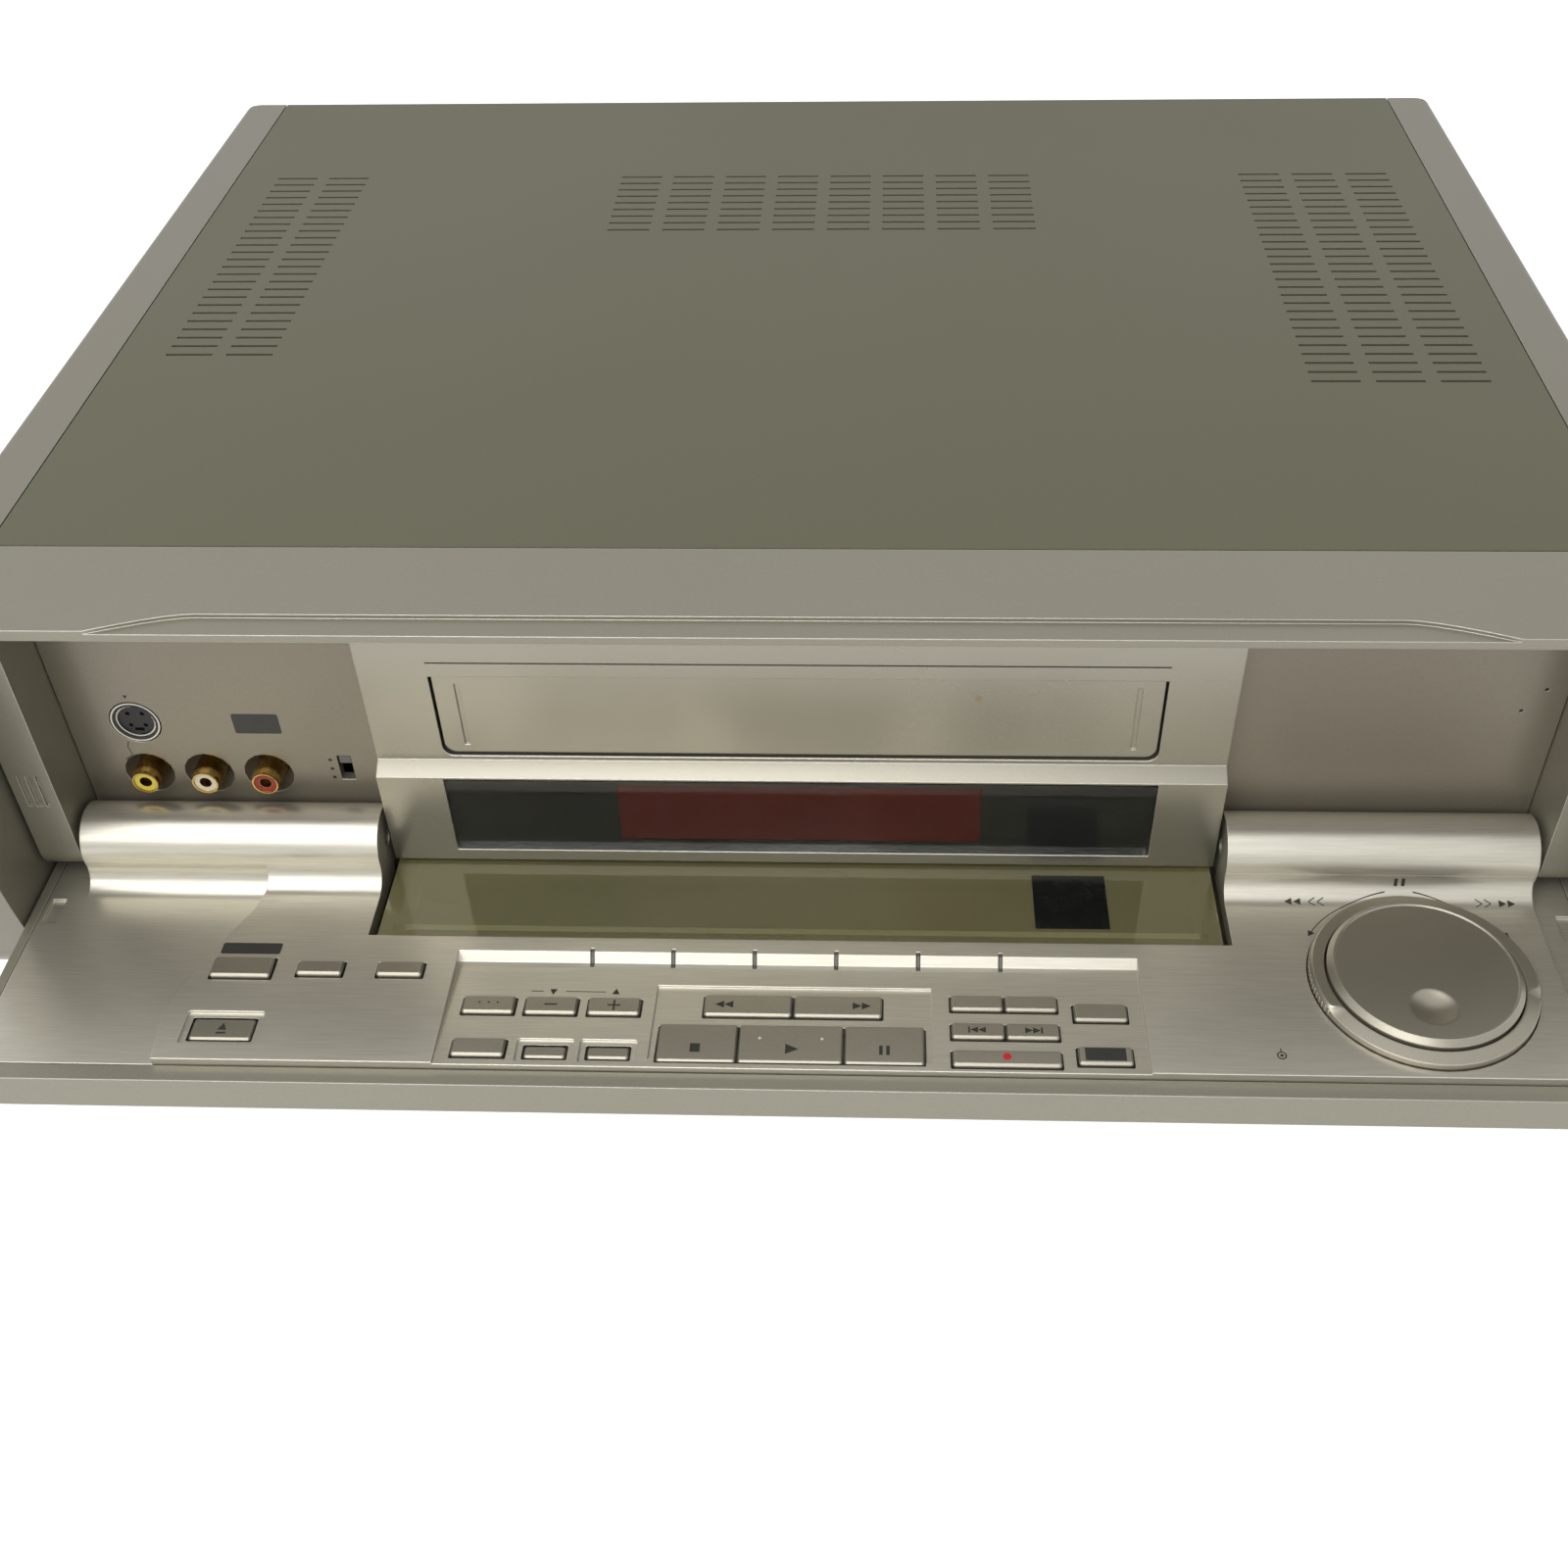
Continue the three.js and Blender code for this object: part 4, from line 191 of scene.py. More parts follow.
# Light and stage
TUBE_GLOW = 0.04
TUBE_GLOW_COLOUR = (1.0, 0.06, 0.03, 1.0)
FLOOR_REACH = 6.0
FLOOR_TONES = ((0.86, 0.86, 0.86, 1), (0.9, 0.9, 0.9, 1))
FLOOR_ROUGHNESS = 0.9
FLOOR_GLOW = (0.76, 0.76, 0.76, 1)
SKY_STRENGTH = 0.28
# Each lamp: place, target, width and depth in metres, power in watts
LAMPS = {
    "front_lamp": ((-0.4, -1.5, 1.0), (0, -0.1, 0.05), 1.6, 0.8, 9.6),
    "upper_lamp": ((-0.35, -0.7, 1.4), (0, -0.14, 0.06), 1.3, 0.9, 11),
}

# Grain of the finishes
BOARD_TOP = 32.2 * MM
SPECKLE_HEIGHT = 0.08 * MM
LINE_HEIGHT = 0.05 * MM
LINE_STRETCH = (0.05, 1.0, 1.0)
# The edges' rounded normal, and the mask that paints a highlight on the edges
EDGE_RADIUS = 0.4 * MM
EDGE_START = 0.95
EDGE_FULL = 0.75
BEVEL_SAMPLES = 4
FINE_DETAIL = 2.0
WIDE_DETAIL = 4.0
LINE_DETAIL = 3.0
LINE_CLOUDS = 14.0
SPECKLE_SHARE = 0.25
SPECKLE_TONES = (0.75, 1.15)
SPRAY_GLOSS = 0.04
LINE_GLOSS = 0.05
SMEAR_GLOSS = 0.06
SMEAR_TONE = 1.25

# The depth probes' surfaces and the tops' outlines, filled by joined_faces
surfaces = {}
crowns = {}

# The photograph's camera, worked out from straight edges of the recorder
FRAME_PIXELS = 1600
FOCAL_PIXELS = 1779.13
CENTRE_PIXEL = 832.63
SENSOR_WIDTH = 36.0
CAMERA_PLACE = (0.0231, -0.48095, 0.3888)
CAMERA_PITCH = math.radians(42.038)
CAMERA_YAW = math.radians(-2.975)
CAMERA_ROLL = math.radians(1.487)
CAMERA_NEAR = 0.01


def make_camera():
    """Forward is the pitch and yaw direction; right and up are turned round it by the roll."""
    forward = Vector(
        (
            math.sin(CAMERA_YAW) * math.cos(CAMERA_PITCH),
            math.cos(CAMERA_YAW) * math.cos(CAMERA_PITCH),
            -math.sin(CAMERA_PITCH),
        )
    )
    level = Vector((math.cos(CAMERA_YAW), -math.sin(CAMERA_YAW), 0))
    down = forward.cross(level)
    right = math.cos(CAMERA_ROLL) * level + math.sin(CAMERA_ROLL) * down
    low = -math.sin(CAMERA_ROLL) * level + math.cos(CAMERA_ROLL) * down
    turn = Matrix((right, -low, -forward)).transposed().to_4x4()
    data = bpy.data.cameras.new("camera")
    data.sensor_width = SENSOR_WIDTH
    data.lens = FOCAL_PIXELS / FRAME_PIXELS * SENSOR_WIDTH
    data.shift_x = 0.5 - CENTRE_PIXEL / FRAME_PIXELS
    data.clip_start = CAMERA_NEAR
    camera = bpy.data.objects.new("camera", data)
    camera.matrix_world = Matrix.Translation(CAMERA_PLACE) @ turn
    bpy.context.scene.collection.objects.link(camera)
    bpy.context.scene.camera = camera


# Shared surface effects, as node groups built once


def new_group(name, inputs, outputs):
    """An empty node group: inputs are (name, kind, default) and outputs (name, kind)."""
    group = bpy.data.node_groups.new(name, "ShaderNodeTree")
    for label, kind, default in inputs:
        socket = group.interface.new_socket(label, in_out="INPUT", socket_type=kind)
        socket.default_value = default
    for label, kind in outputs:
        group.interface.new_socket(label, in_out="OUTPUT", socket_type=kind)
    start = group.nodes.new("NodeGroupInput")
    end = group.nodes.new("NodeGroupOutput")
    return group, start, end


def add(tree, kind, links=(), **settings):
    """A node of a kind, with plain settings, and links of (input name or number, source)."""
    node = tree.nodes.new(kind)
    for key, value in settings.items():
        setattr(node, key, value)
    for target, source in links:
        tree.links.new(source, node.inputs[target])
    return node


FLOAT = "NodeSocketFloat"
VECTOR = "NodeSocketVector"


def make_grain_group():
    """Speckle of a sprayed coat: a small noise gives the height, a wide one clouds the tone."""
    group, start, end = new_group(
        "spray_grain",
        [("Size", FLOAT, 2500.0), ("Height", FLOAT, 0.1), ("Clouds", FLOAT, 6.0)],
        [("Speckle", FLOAT), ("Cloud", FLOAT), ("Normal", VECTOR)],
    )
    place = add(group, "ShaderNodeTexCoord")
    spot = ("Vector", place.outputs["Object"])
    fine = add(group, "ShaderNodeTexNoise", [spot, ("Scale", start.outputs["Size"])])
    fine.inputs["Detail"].default_value = FINE_DETAIL
    wide = add(group, "ShaderNodeTexNoise", [spot, ("Scale", start.outputs["Clouds"])])
    wide.inputs["Detail"].default_value = WIDE_DETAIL
    relief = [("Height", fine.outputs["Fac"]), ("Strength", start.outputs["Height"])]
    bump = add(group, "ShaderNodeBump", relief)
    bump.inputs["Distance"].default_value = SPECKLE_HEIGHT
    group.links.new(fine.outputs["Fac"], end.inputs["Speckle"])
    group.links.new(wide.outputs["Fac"], end.inputs["Cloud"])
    group.links.new(bump.outputs["Normal"], end.inputs["Normal"])
    return group


def make_brushed_group():
    """Brushed lines along X: a noise stretched twenty times along the brushing direction."""
    group, start, end = new_group(
        "brushed_lines",
        [("Size", FLOAT, 1800.0), ("Height", FLOAT, 0.15)],
        [("Lines", FLOAT), ("Cloud", FLOAT), ("Normal", VECTOR)],
    )
    place = add(group, "ShaderNodeTexCoord")
    stretch = add(group, "ShaderNodeMapping", [("Vector", place.outputs["Object"])])
    stretch.inputs["Scale"].default_value = LINE_STRETCH
    long_spot = ("Vector", stretch.outputs[0])
    lines = add(group, "ShaderNodeTexNoise", [long_spot, ("Scale", start.outputs["Size"])])
    lines.inputs["Detail"].default_value = LINE_DETAIL
    wide = add(group, "ShaderNodeTexNoise", [("Vector", place.outputs["Object"])])
    wide.inputs["Scale"].default_value = LINE_CLOUDS
    relief = [("Height", lines.outputs["Fac"]), ("Strength", start.outputs["Height"])]
    bump = add(group, "ShaderNodeBump", relief)
    bump.inputs["Distance"].default_value = LINE_HEIGHT
    group.links.new(lines.outputs["Fac"], end.inputs["Lines"])
    group.links.new(wide.outputs["Fac"], end.inputs["Cloud"])
    group.links.new(bump.outputs["Normal"], end.inputs["Normal"])
    return group


def make_edge_group():
    """Bright edges as a painted highlight: where a rounded normal leaves the flat one, the mask
    rises.
    """
    group, start, end = new_group(
        "bright_edges",
        [("Radius", FLOAT, EDGE_RADIUS), ("Normal", VECTOR, (0.0, 0.0, 0.0))],
        [("Edge", FLOAT), ("Normal", VECTOR)],
    )
    ends = [("Radius", start.outputs["Radius"]), ("Normal", start.outputs["Normal"])]
    softened = add(group, "ShaderNodeBevel", ends, samples=BEVEL_SAMPLES)
    flat = add(group, "ShaderNodeNewGeometry")
    pair = [(0, softened.outputs[0]), (1, flat.outputs["True Normal"])]
    dot = add(group, "ShaderNodeVectorMath", pair, operation="DOT_PRODUCT")
    mask = add(group, "ShaderNodeMapRange", [("Value", dot.outputs["Value"])])
    mask.inputs["From Min"].default_value = EDGE_START
    mask.inputs["From Max"].default_value = EDGE_FULL
    group.links.new(mask.outputs["Result"], end.inputs["Edge"])
    group.links.new(softened.outputs[0], end.inputs["Normal"])
    return group


GRAIN = make_grain_group()
LINES = make_brushed_group()
EDGES = make_edge_group()


def rgb(red, green, blue):
    """Linear colour of three display values from 0 to 255."""
    def linear(value):
        share = value / 255
        return share / 12.92 if share <= 0.04045 else ((share + 0.055) / 1.055) ** 2.4

    return (linear(red), linear(green), linear(blue), 1.0)


def new_material(name):
    """A material with its node tree and its shader."""
    material = bpy.data.materials.new(name)
    material.use_nodes = True
    tree = material.node_tree
    return material, tree, tree.nodes["Principled BSDF"]


def use_group(tree, group, links=(), **values):
    """A shared effect placed in a material with its own values."""
    node = tree.nodes.new("ShaderNodeGroup")
    node.node_tree = group
    for label, value in values.items():
        node.inputs[label].default_value = value
    for target, source in links:
        tree.links.new(source, node.inputs[target])
    return node


def vary(tree, low, high, mask):
    """A colour between low and high, by a mask."""
    mix = add(tree, "ShaderNodeMix", data_type="RGBA")
    mix.inputs["A"].default_value = low
    mix.inputs["B"].default_value = high
    tree.links.new(mask, mix.inputs["Factor"])
    return mix.outputs["Result"]


def spread(tree, mask, low, high):
    """The mask's middle range stretched to low and high."""
    node = add(tree, "ShaderNodeMapRange", [("Value", mask)])
    node.inputs["From Min"].default_value = 0.3
    node.inputs["From Max"].default_value = 0.7
    node.inputs["To Min"].default_value = low
    node.inputs["To Max"].default_value = high
    return node.outputs["Result"]


def spread_round(tree, factor, middle_value, reach):
    """A factor spread evenly to both sides of a middle value."""
    return spread(tree, factor, middle_value - reach, middle_value + reach)


def finish_shader(tree, shader, tone, edges, edge, gloss, metallic):
    """Tone with paler edges as a painted highlight, gloss and the edges' rounded normal, on the
    shader.
    """
    # Painted highlight: the edge mask mixes in the paler edge tone
    edge_highlight = add(tree, "ShaderNodeMix", [("A", tone)], data_type="RGBA")
    edge_highlight.inputs["B"].default_value = rgb(*edge)
    tree.links.new(edges.outputs["Edge"], edge_highlight.inputs["Factor"])
    tree.links.new(edge_highlight.outputs["Result"], shader.inputs["Base Color"])
    tree.links.new(gloss, shader.inputs["Roughness"])
    tree.links.new(edges.outputs["Normal"], shader.inputs["Normal"])
    shader.inputs["Metallic"].default_value = metallic


def sprayed(
    name, dark, light, edge, roughness, metallic, size=2500.0, height=0.1, radius=EDGE_RADIUS
):
    """A sprayed or moulded finish: clouded tone, fine speckle and paler edges as a painted
    highlight.
    """
    material, tree, shader = new_material(name)
    grain = use_group(tree, GRAIN, Size=size, Height=height)
    edges = use_group(tree, EDGES, [("Normal", grain.outputs["Normal"])], Radius=radius)
    tone = vary(tree, rgb(*dark), rgb(*light), grain.outputs["Cloud"])
    speck = add(tree, "ShaderNodeMix", [("A", tone)], data_type="RGBA", blend_type="MULTIPLY")
    speck.inputs["Factor"].default_value = SPECKLE_SHARE
    tree.links.new(spread(tree, grain.outputs["Speckle"], *SPECKLE_TONES), speck.inputs["B"])
    gloss = spread_round(tree, grain.outputs["Cloud"], roughness, SPRAY_GLOSS)
    finish_shader(tree, shader, speck.outputs["Result"], edges, edge, gloss, metallic)
    return material


def brushed(name, dark, light, edge, roughness, metallic, height=0.15):
    """Brushed metal: long lines in tone, height and gloss, with edges painted bright as a
    highlight.
    """
    material, tree, shader = new_material(name)
    lines = use_group(tree, LINES, Height=height)
    edges = use_group(tree, EDGES, [("Normal", lines.outputs["Normal"])], Radius=EDGE_RADIUS)
    tone = vary(tree, rgb(*dark), rgb(*light), spread(tree, lines.outputs["Lines"], 0.0, 1.0))
    gloss = spread_round(tree, lines.outputs["Cloud"], roughness, LINE_GLOSS)
    finish_shader(tree, shader, tone, edges, edge, gloss, metallic)
    return material


def circuit_board(name):
    """Green lacquer up to the board's top face, and charcoal cases on the parts above it."""
    material = sprayed(name, (24, 74, 44), (40, 96, 58), (120, 150, 110), 0.4, 0.0, 500.0, 0.2)
    tree = material.node_tree
    shader = tree.nodes["Principled BSDF"]
    lacquer = shader.inputs["Base Color"].links[0].from_socket
    place = add(tree, "ShaderNodeTexCoord")
    parts = add(tree, "ShaderNodeSeparateXYZ", [("Vector", place.outputs["Object"])])
    above = add(tree, "ShaderNodeMath", [(0, parts.outputs["Z"])], operation="GREATER_THAN")
    above.inputs[1].default_value = BOARD_TOP
    ends = [("Factor", above.outputs[0]), ("A", lacquer)]
    mix = add(tree, "ShaderNodeMix", ends, data_type="RGBA")
    mix.inputs["B"].default_value = rgb(46, 46, 48)
    tree.links.new(mix.outputs["Result"], shader.inputs["Base Color"])
    return material


def smoked(name, tint, roughness, transmission, bending):
    """Tinted sheet with faint smears; the bending is its index of refraction and sets its shine."""
    material, tree, shader = new_material(name)
    grain = use_group(tree, GRAIN, Size=60.0, Height=0.0, Clouds=25.0)
    smear = tuple(SMEAR_TONE * part for part in tint)
    tone = vary(tree, (*tint, 1.0), (*smear, 1.0), grain.outputs["Cloud"])
    tree.links.new(tone, shader.inputs["Base Color"])
    gloss = spread(tree, grain.outputs["Cloud"], roughness, roughness + SMEAR_GLOSS)
    tree.links.new(gloss, shader.inputs["Roughness"])
    shader.inputs["Transmission Weight"].default_value = transmission
    shader.inputs["IOR"].default_value = bending
    return material


def gold_plated(name):
    """Plated barrels: brass yellow with faint tarnish clouds."""
    material, tree, shader = new_material(name)
    grain = use_group(tree, GRAIN, Size=3000.0, Height=0.05, Clouds=180.0)
    tarnish = spread(tree, grain.outputs["Cloud"], 0.0, 1.0)
    tone = vary(tree, rgb(150, 118, 58), rgb(222, 190, 120), tarnish)
    tree.links.new(tone, shader.inputs["Base Color"])
    tree.links.new(spread(tree, grain.outputs["Cloud"], 0.18, 0.34), shader.inputs["Roughness"])
    shader.inputs["Metallic"].default_value = 1.0
    return material


# Sprayed and moulded finishes: dark and light tones, the edge tone that paints a highlight on the
# edges, roughness, metallic, and where they differ the speckle's size and height and the edge's
# radius
SPRAYED = {
    "cover_paint": ((92, 91, 68), (101, 100, 77), (120, 118, 96), 0.5, 0.1, 1600.0, 0.35, 0.2 * MM),
    "panel_paint": ((131, 126, 113), (141, 136, 123), (206, 202, 188), 0.42, 0.3),
    "champagne": ((138, 134, 119), (148, 144, 129), (246, 242, 230), 0.36, 0.4),
    "fascia_silver": ((148, 144, 132), (158, 154, 141), (250, 247, 238), 0.26, 0.8),
    "recess_paint": ((130, 124, 110), (140, 133, 119), (214, 208, 194), 0.36, 0.5),
    "key_silver": ((152, 147, 133), (162, 157, 143), (250, 248, 240), 0.32, 0.8, 2500.0, 0.06),
    "red_filter": ((70, 4, 3), (82, 8, 6), (92, 16, 12), 0.25, 0.0, 900.0, 0.02),
    "black_plastic": ((20, 20, 20), (34, 34, 34), (80, 80, 80), 0.45, 0.0),
    "grey_plastic": ((92, 90, 84), (116, 114, 107), (170, 168, 160), 0.4, 0.0),
    "black_steel": ((38, 40, 42), (50, 52, 54), (120, 122, 124), 0.5, 0.3),
    "rubber": ((24, 24, 24), (36, 36, 35), (70, 70, 68), 0.8, 0.0),
}
# Brushed metals: the same tones, the edge tone a painted highlight, roughness, metallic, and the
# lines' height
BRUSHED = {
    "satin_metal": ((186, 182, 169), (197, 193, 180), (252, 250, 242), 0.34, 0.75, 0.06),
    "zinc_steel": ((150, 152, 150), (182, 184, 182), (225, 226, 224), 0.35, 0.9),
    "drum_metal": ((186, 188, 190), (206, 208, 210), (240, 241, 242), 0.2, 1.0, 0.06),
}
# Tinted sheets: tint, roughness, transmission and index of refraction
SMOKED = {
    "dark_glass": ((0.5, 0.5, 0.48), 0.03, 1.0, 1.3),
    "olive_glass": ((0.38, 0.355, 0.18), 0.06, 0.75, 1.6),
    "clear_plastic": ((0.16, 0.15, 0.12), 0.12, 0.5, 1.49),
}
FINISHES = {"gold": gold_plated("gold"), "green_board": circuit_board("green_board")}
FINISHES.update({name: sprayed(name, *values) for name, values in SPRAYED.items()})
FINISHES.update({name: brushed(name, *values) for name, values in BRUSHED.items()})
FINISHES.update({name: smoked(name, *values) for name, values in SMOKED.items()})


def glow_tube():
    """The display's filter glows faintly from behind."""
    shader = FINISHES["red_filter"].node_tree.nodes["Principled BSDF"]
    shader.inputs["Emission Color"].default_value = TUBE_GLOW_COLOUR
    shader.inputs["Emission Strength"].default_value = TUBE_GLOW


def dress_nodes():
    """Each node of the frame takes the finish of its record slot."""
    for row in frame["record"]["subparts"]:
        node = nodes[row["node"]]
        node.data.materials.clear()
        node.data.materials.append(FINISHES[row["material_slot"]])


# Smooth copies: the loose triangles of each node joined, so that round walls shade as round


def middle(node):
    """The middle and the half sizes of a node's box, in millimetres."""
    low, high = (np.array(corner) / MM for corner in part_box(node))
    return (low + high) / 2, (high - low) / 2


def read_faces(work):
    """Vertex places and the faces' vertex numbers."""
    work.verts.index_update()
    places = [vertex.co.copy() for vertex in work.verts]
    return places, [[vertex.index for vertex in face.verts] for face in work.faces]


def joined_faces(node):
    """Close vertices become one, then faces in one plane become one; notes the top's outline."""
    work = bmesh.new()
    work.from_mesh(node.data)
    bmesh.ops.remove_doubles(work, verts=work.verts, dist=JOIN_GAP)
    surfaces[node.name] = BVHTree.FromPolygons(*read_faces(work))
    bmesh.ops.dissolve_limit(work, angle_limit=FLAT_ANGLE, verts=work.verts, edges=work.edges)
    places, faces = read_faces(work)
    work.free()
    places = np.array(places)
    upper = places[places[:, 2] > places[:, 2].max() - CROWN][:, :2] / MM
    crowns[node.name] = (*(upper.min(0) + upper.max(0)) / 2, *np.ptp(upper, axis=0))
    return places, faces


def add_piece(name, places, faces, material, body, smooth=None):
    """A mesh piece that rides on a body; corners under the smooth angle shade as round."""
    mesh = bpy.data.meshes.new(name)
    mesh.from_pydata(places.reshape(-1, 3).tolist(), [], faces)
    mesh.materials.append(material)
    if smooth is not None:
        mesh.shade_smooth()
        mesh.set_sharp_from_angle(angle=smooth)
    piece = bpy.data.objects.new(name, mesh)
    bpy.context.scene.collection.objects.link(piece)
    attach(piece, body)
    return piece


def grid_faces(rows, columns, closed=False):
    """Quads between a grid's neighbours; the last column, and row if closed, joins the first."""
    row = np.arange(rows - 1 + closed)[:, None]
    near, far = row * columns, (row + 1) % rows * columns
    column = np.arange(columns)
    after = (column + 1) % columns
    quads = [near + column, near + after, far + after, far + column]
    return np.stack(quads, axis=-1).reshape(-1, 4)


def turned_caps(rows, columns):
    """Faces over the first and the last row of a grid."""
    last = (rows - 1) * columns
    return [list(range(columns - 1, -1, -1)), list(range(last, last + columns))]


def full_turn(count):
    """Equal turns round a circle, in radians."""
    return np.arange(count) * math.tau / count


def shape_dial():
    """A disc, bored from below, as circles that share one middle.

    The top sinks at the dimple by its depth * (1 - (distance from its middle / its radius)^2).
    """
    (x, y, centre), (outer, _, half) = middle("jog_dial")
    low, high = centre - half, centre + half
    ways = full_turn(ROUND_TURNS)
    floor = np.linspace(outer - DIAL_RIM[2], DIAL_HEART, DIAL_ROWS)[:, None]
    across, along = floor * np.cos(ways), floor * np.sin(ways)
    reach = np.hypot(across - DIMPLE_PLACE[0], along - DIMPLE_PLACE[1])
    sunk = high - DIAL_DISH - DIMPLE_DEPTH * np.clip(1 - (reach / DIMPLE_RADIUS) ** 2, 0, None)
    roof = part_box("dial_encoder")[1][2] / MM + BORE_GAP
    bore = [DIAL_HEART, BORE_RADIUS, BORE_RADIUS]
    wall = bore + [outer, outer, outer - DIAL_RIM[0], outer - DIAL_RIM[1]]
    wall = np.array(wall)[:, None]
    rise = np.array([roof, roof, low, low, high - DIAL_RIM[0], high, high])[:, None]
    radius = np.concatenate([wall, floor]) + 0 * ways
    height = np.concatenate([rise + 0 * ways, sunk])
    places = np.stack([x + radius * np.cos(ways), y + radius * np.sin(ways), height], axis=-1)
    return places * MM, grid_faces(*radius.shape).tolist() + turned_caps(*radius.shape)


def shape_ring():
    """A closed outline of (radius, height) turned round the ring's middle.

    The cone's run and drop are narrow value + broad share * (broad value - narrow value). The
    broad share is the distance in degrees to the nearer end of the broad part / the easing width
    + a half, kept between 0 and 1.
    """
    (x, y, centre), (outer, _, half) = middle("shuttle_ring")
    low, high = centre - half, centre + half
    ways = full_turn(ROUND_TURNS)
    turn = np.degrees((ways + math.pi) % math.tau - math.pi)
    broad = np.clip(np.minimum(turn - CONE_START, CONE_END - turn) / CONE_EASE + 0.5, 0, 1)
    inner = outer - RING_WIDTH
    run = CONE_RUNS[0] + broad * (CONE_RUNS[1] - CONE_RUNS[0])
    drop = CONE_DROPS[0] + broad * (CONE_DROPS[1] - CONE_DROPS[0])
    even = 0 * ways
    radius = [inner, outer, outer, outer - RING_EDGE / 2, outer - run, inner + RING_EDGE, inner]
    height = [low, low, high - drop - RING_EDGE, high - drop, high, high, high - RING_EDGE]
    radius = np.stack([row + even for row in radius])
    height = np.stack([row + even for row in height])
    places = np.stack([x + radius * np.cos(ways), y + radius * np.sin(ways), height], axis=-1)
    return places * MM, grid_faces(*radius.shape, closed=True).tolist()


SHAPED = {"jog_dial": shape_dial, "shuttle_ring": shape_ring}


def smooth_nodes():
    """Every node gives way to its joined copy; wide flats keep their own direction."""
    for row in frame["record"]["subparts"]:
        name = row["node"]
        places, faces = joined_faces(nodes[name])
        if name in SHAPED:
            places, faces = SHAPED[name]()
        if name == "rear_jack_block":
            places[:, 1] = np.minimum(places[:, 1], places[:, 1].max() - REAR_SINK)
        finish = FINISHES[row["material_slot"]]
        body = body_of(nodes[name])[0]
        piece = add_piece(f"{name}_smooth", places, faces, finish, body, SMOOTH_ANGLE)
        even = piece.modifiers.new("even", "WEIGHTED_NORMAL")
        even.keep_sharp = True
        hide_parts(name)


# Marks: thin prints laid on a node's surface, drawn as outlines in millimetres


def arc(x, y, radius, start, end, count):
    """Points on a circle between two angles in degrees."""
    ways = np.radians(np.linspace(start, end, count))
    return np.stack([x + radius * np.cos(ways), y + radius * np.sin(ways)], axis=-1)


def disc(x, y, radius, sides=24):
    """A filled circle."""
    return [arc(x, y, radius, 0, 360 - 360 / sides, sides)]


def bar(x, y, width, height):
    """An upright rectangle round its middle."""
    corners = np.array([(-1, -1), (1, -1), (1, 1), (-1, 1)])
    return [np.array((x, y)) + corners * np.array((width, height)) / 2]


def arrow(x, y, size, turn):
    """A triangle whose tip points along the turn, in degrees from +X."""
    ways = np.radians([turn, turn + ARROW_SPREAD, turn - ARROW_SPREAD])
    return [np.stack([x + size * np.cos(ways), y + size * np.sin(ways)], axis=-1)]


def line(points, width):
    """Quads of one width along points: each end moves half the width to both sides."""
    points = np.array(points)
    step = np.diff(points, axis=0)
    side = np.stack([-step[:, 1], step[:, 0]], axis=-1)
    side *= width / 2 / np.hypot(step[:, 0], step[:, 1])[:, None]
    quads = [points[:-1] + side, points[:-1] - side, points[1:] - side, points[1:] + side]
    return list(np.stack(quads, axis=1))


def ring(x, y, inner, outer, count=33):
    """Quads between two circles."""
    near, far = arc(x, y, inner, 0, 360, count), arc(x, y, outer, 0, 360, count)
    return list(np.stack([near[:-1], far[:-1], far[1:], near[1:]], axis=1))


def rounded(x, y, width, height, radius):
    """A rectangle with quarter circles at its corners."""
    reach_x, reach_y = width / 2 - radius, height / 2 - radius
    corners = ((1, 1, 0), (-1, 1, 90), (-1, -1, 180), (1, -1, 270))
    quarters = [
        arc(x + right * reach_x, y + up * reach_y, radius, turn, turn + 90, 4)
        for right, up, turn in corners
    ]
    return [np.concatenate(quarters)]


def probe(node, facing, across, along):
    """Depths of the node's surface at one place across and several along, by straight rays."""
    way = Vector(WAYS[facing])
    depths = []
    for place in along:
        level = place * MM
        start = (level, FAR) if facing == "top" else (-FAR, level)
        hit = surfaces[node].ray_cast(Vector((across * MM, *start)), way)[0]
        if hit is None:
            raise ValueError(f"a mark at {across}, {place} misses {node}")
        depths.append((hit - way * PRINT_LIFT)[2 if facing == "top" else 1] / MM)
    return depths


def print_mark(
    name, node, outlines, material, facing="top", spot=None, sink=0.0, probes=PROBES
):
    """Outlines laid on a node: each point takes the surface's depth at its place along.

    A spot of (across, along) gives one depth for all, and one of (across, start, end) says where
    the depths are read.
    """
    points = np.concatenate(outlines)
    low, high = points[:, 1].min(), points[:, 1].max()
    across, *ends = (points[:, 0].mean(), low, high) if spot is None else spot
    along = np.array(ends) if len(ends) == 1 else np.linspace(*ends, probes)
    depth = np.interp(points[:, 1], along, probe(node, facing, across, along)) + sink
    places = np.stack([points[:, 0], points[:, 1], depth], axis=-1)
    if facing == "front":
        places = places[:, [0, 2, 1]]
    ends = np.cumsum([len(outline) for outline in outlines])
    faces = [list(range(end - len(outline), end)) for end, outline in zip(ends, outlines)]
    add_piece(name, places * MM, faces, material, body_of(nodes[node])[0])


def printed(name, dark, light, roughness=0.55):
    """Screen-printed ink with faint clouds and pinholes."""
    material, tree, shader = new_material(name)
    grain = use_group(tree, GRAIN, Size=6000.0, Height=0.05, Clouds=300.0)
    tree.links.new(vary(tree, dark, light, grain.outputs["Speckle"]), shader.inputs["Base Color"])
    gloss = spread_round(tree, grain.outputs["Cloud"], roughness, LINE_GLOSS)
    tree.links.new(gloss, shader.inputs["Roughness"])
    return material


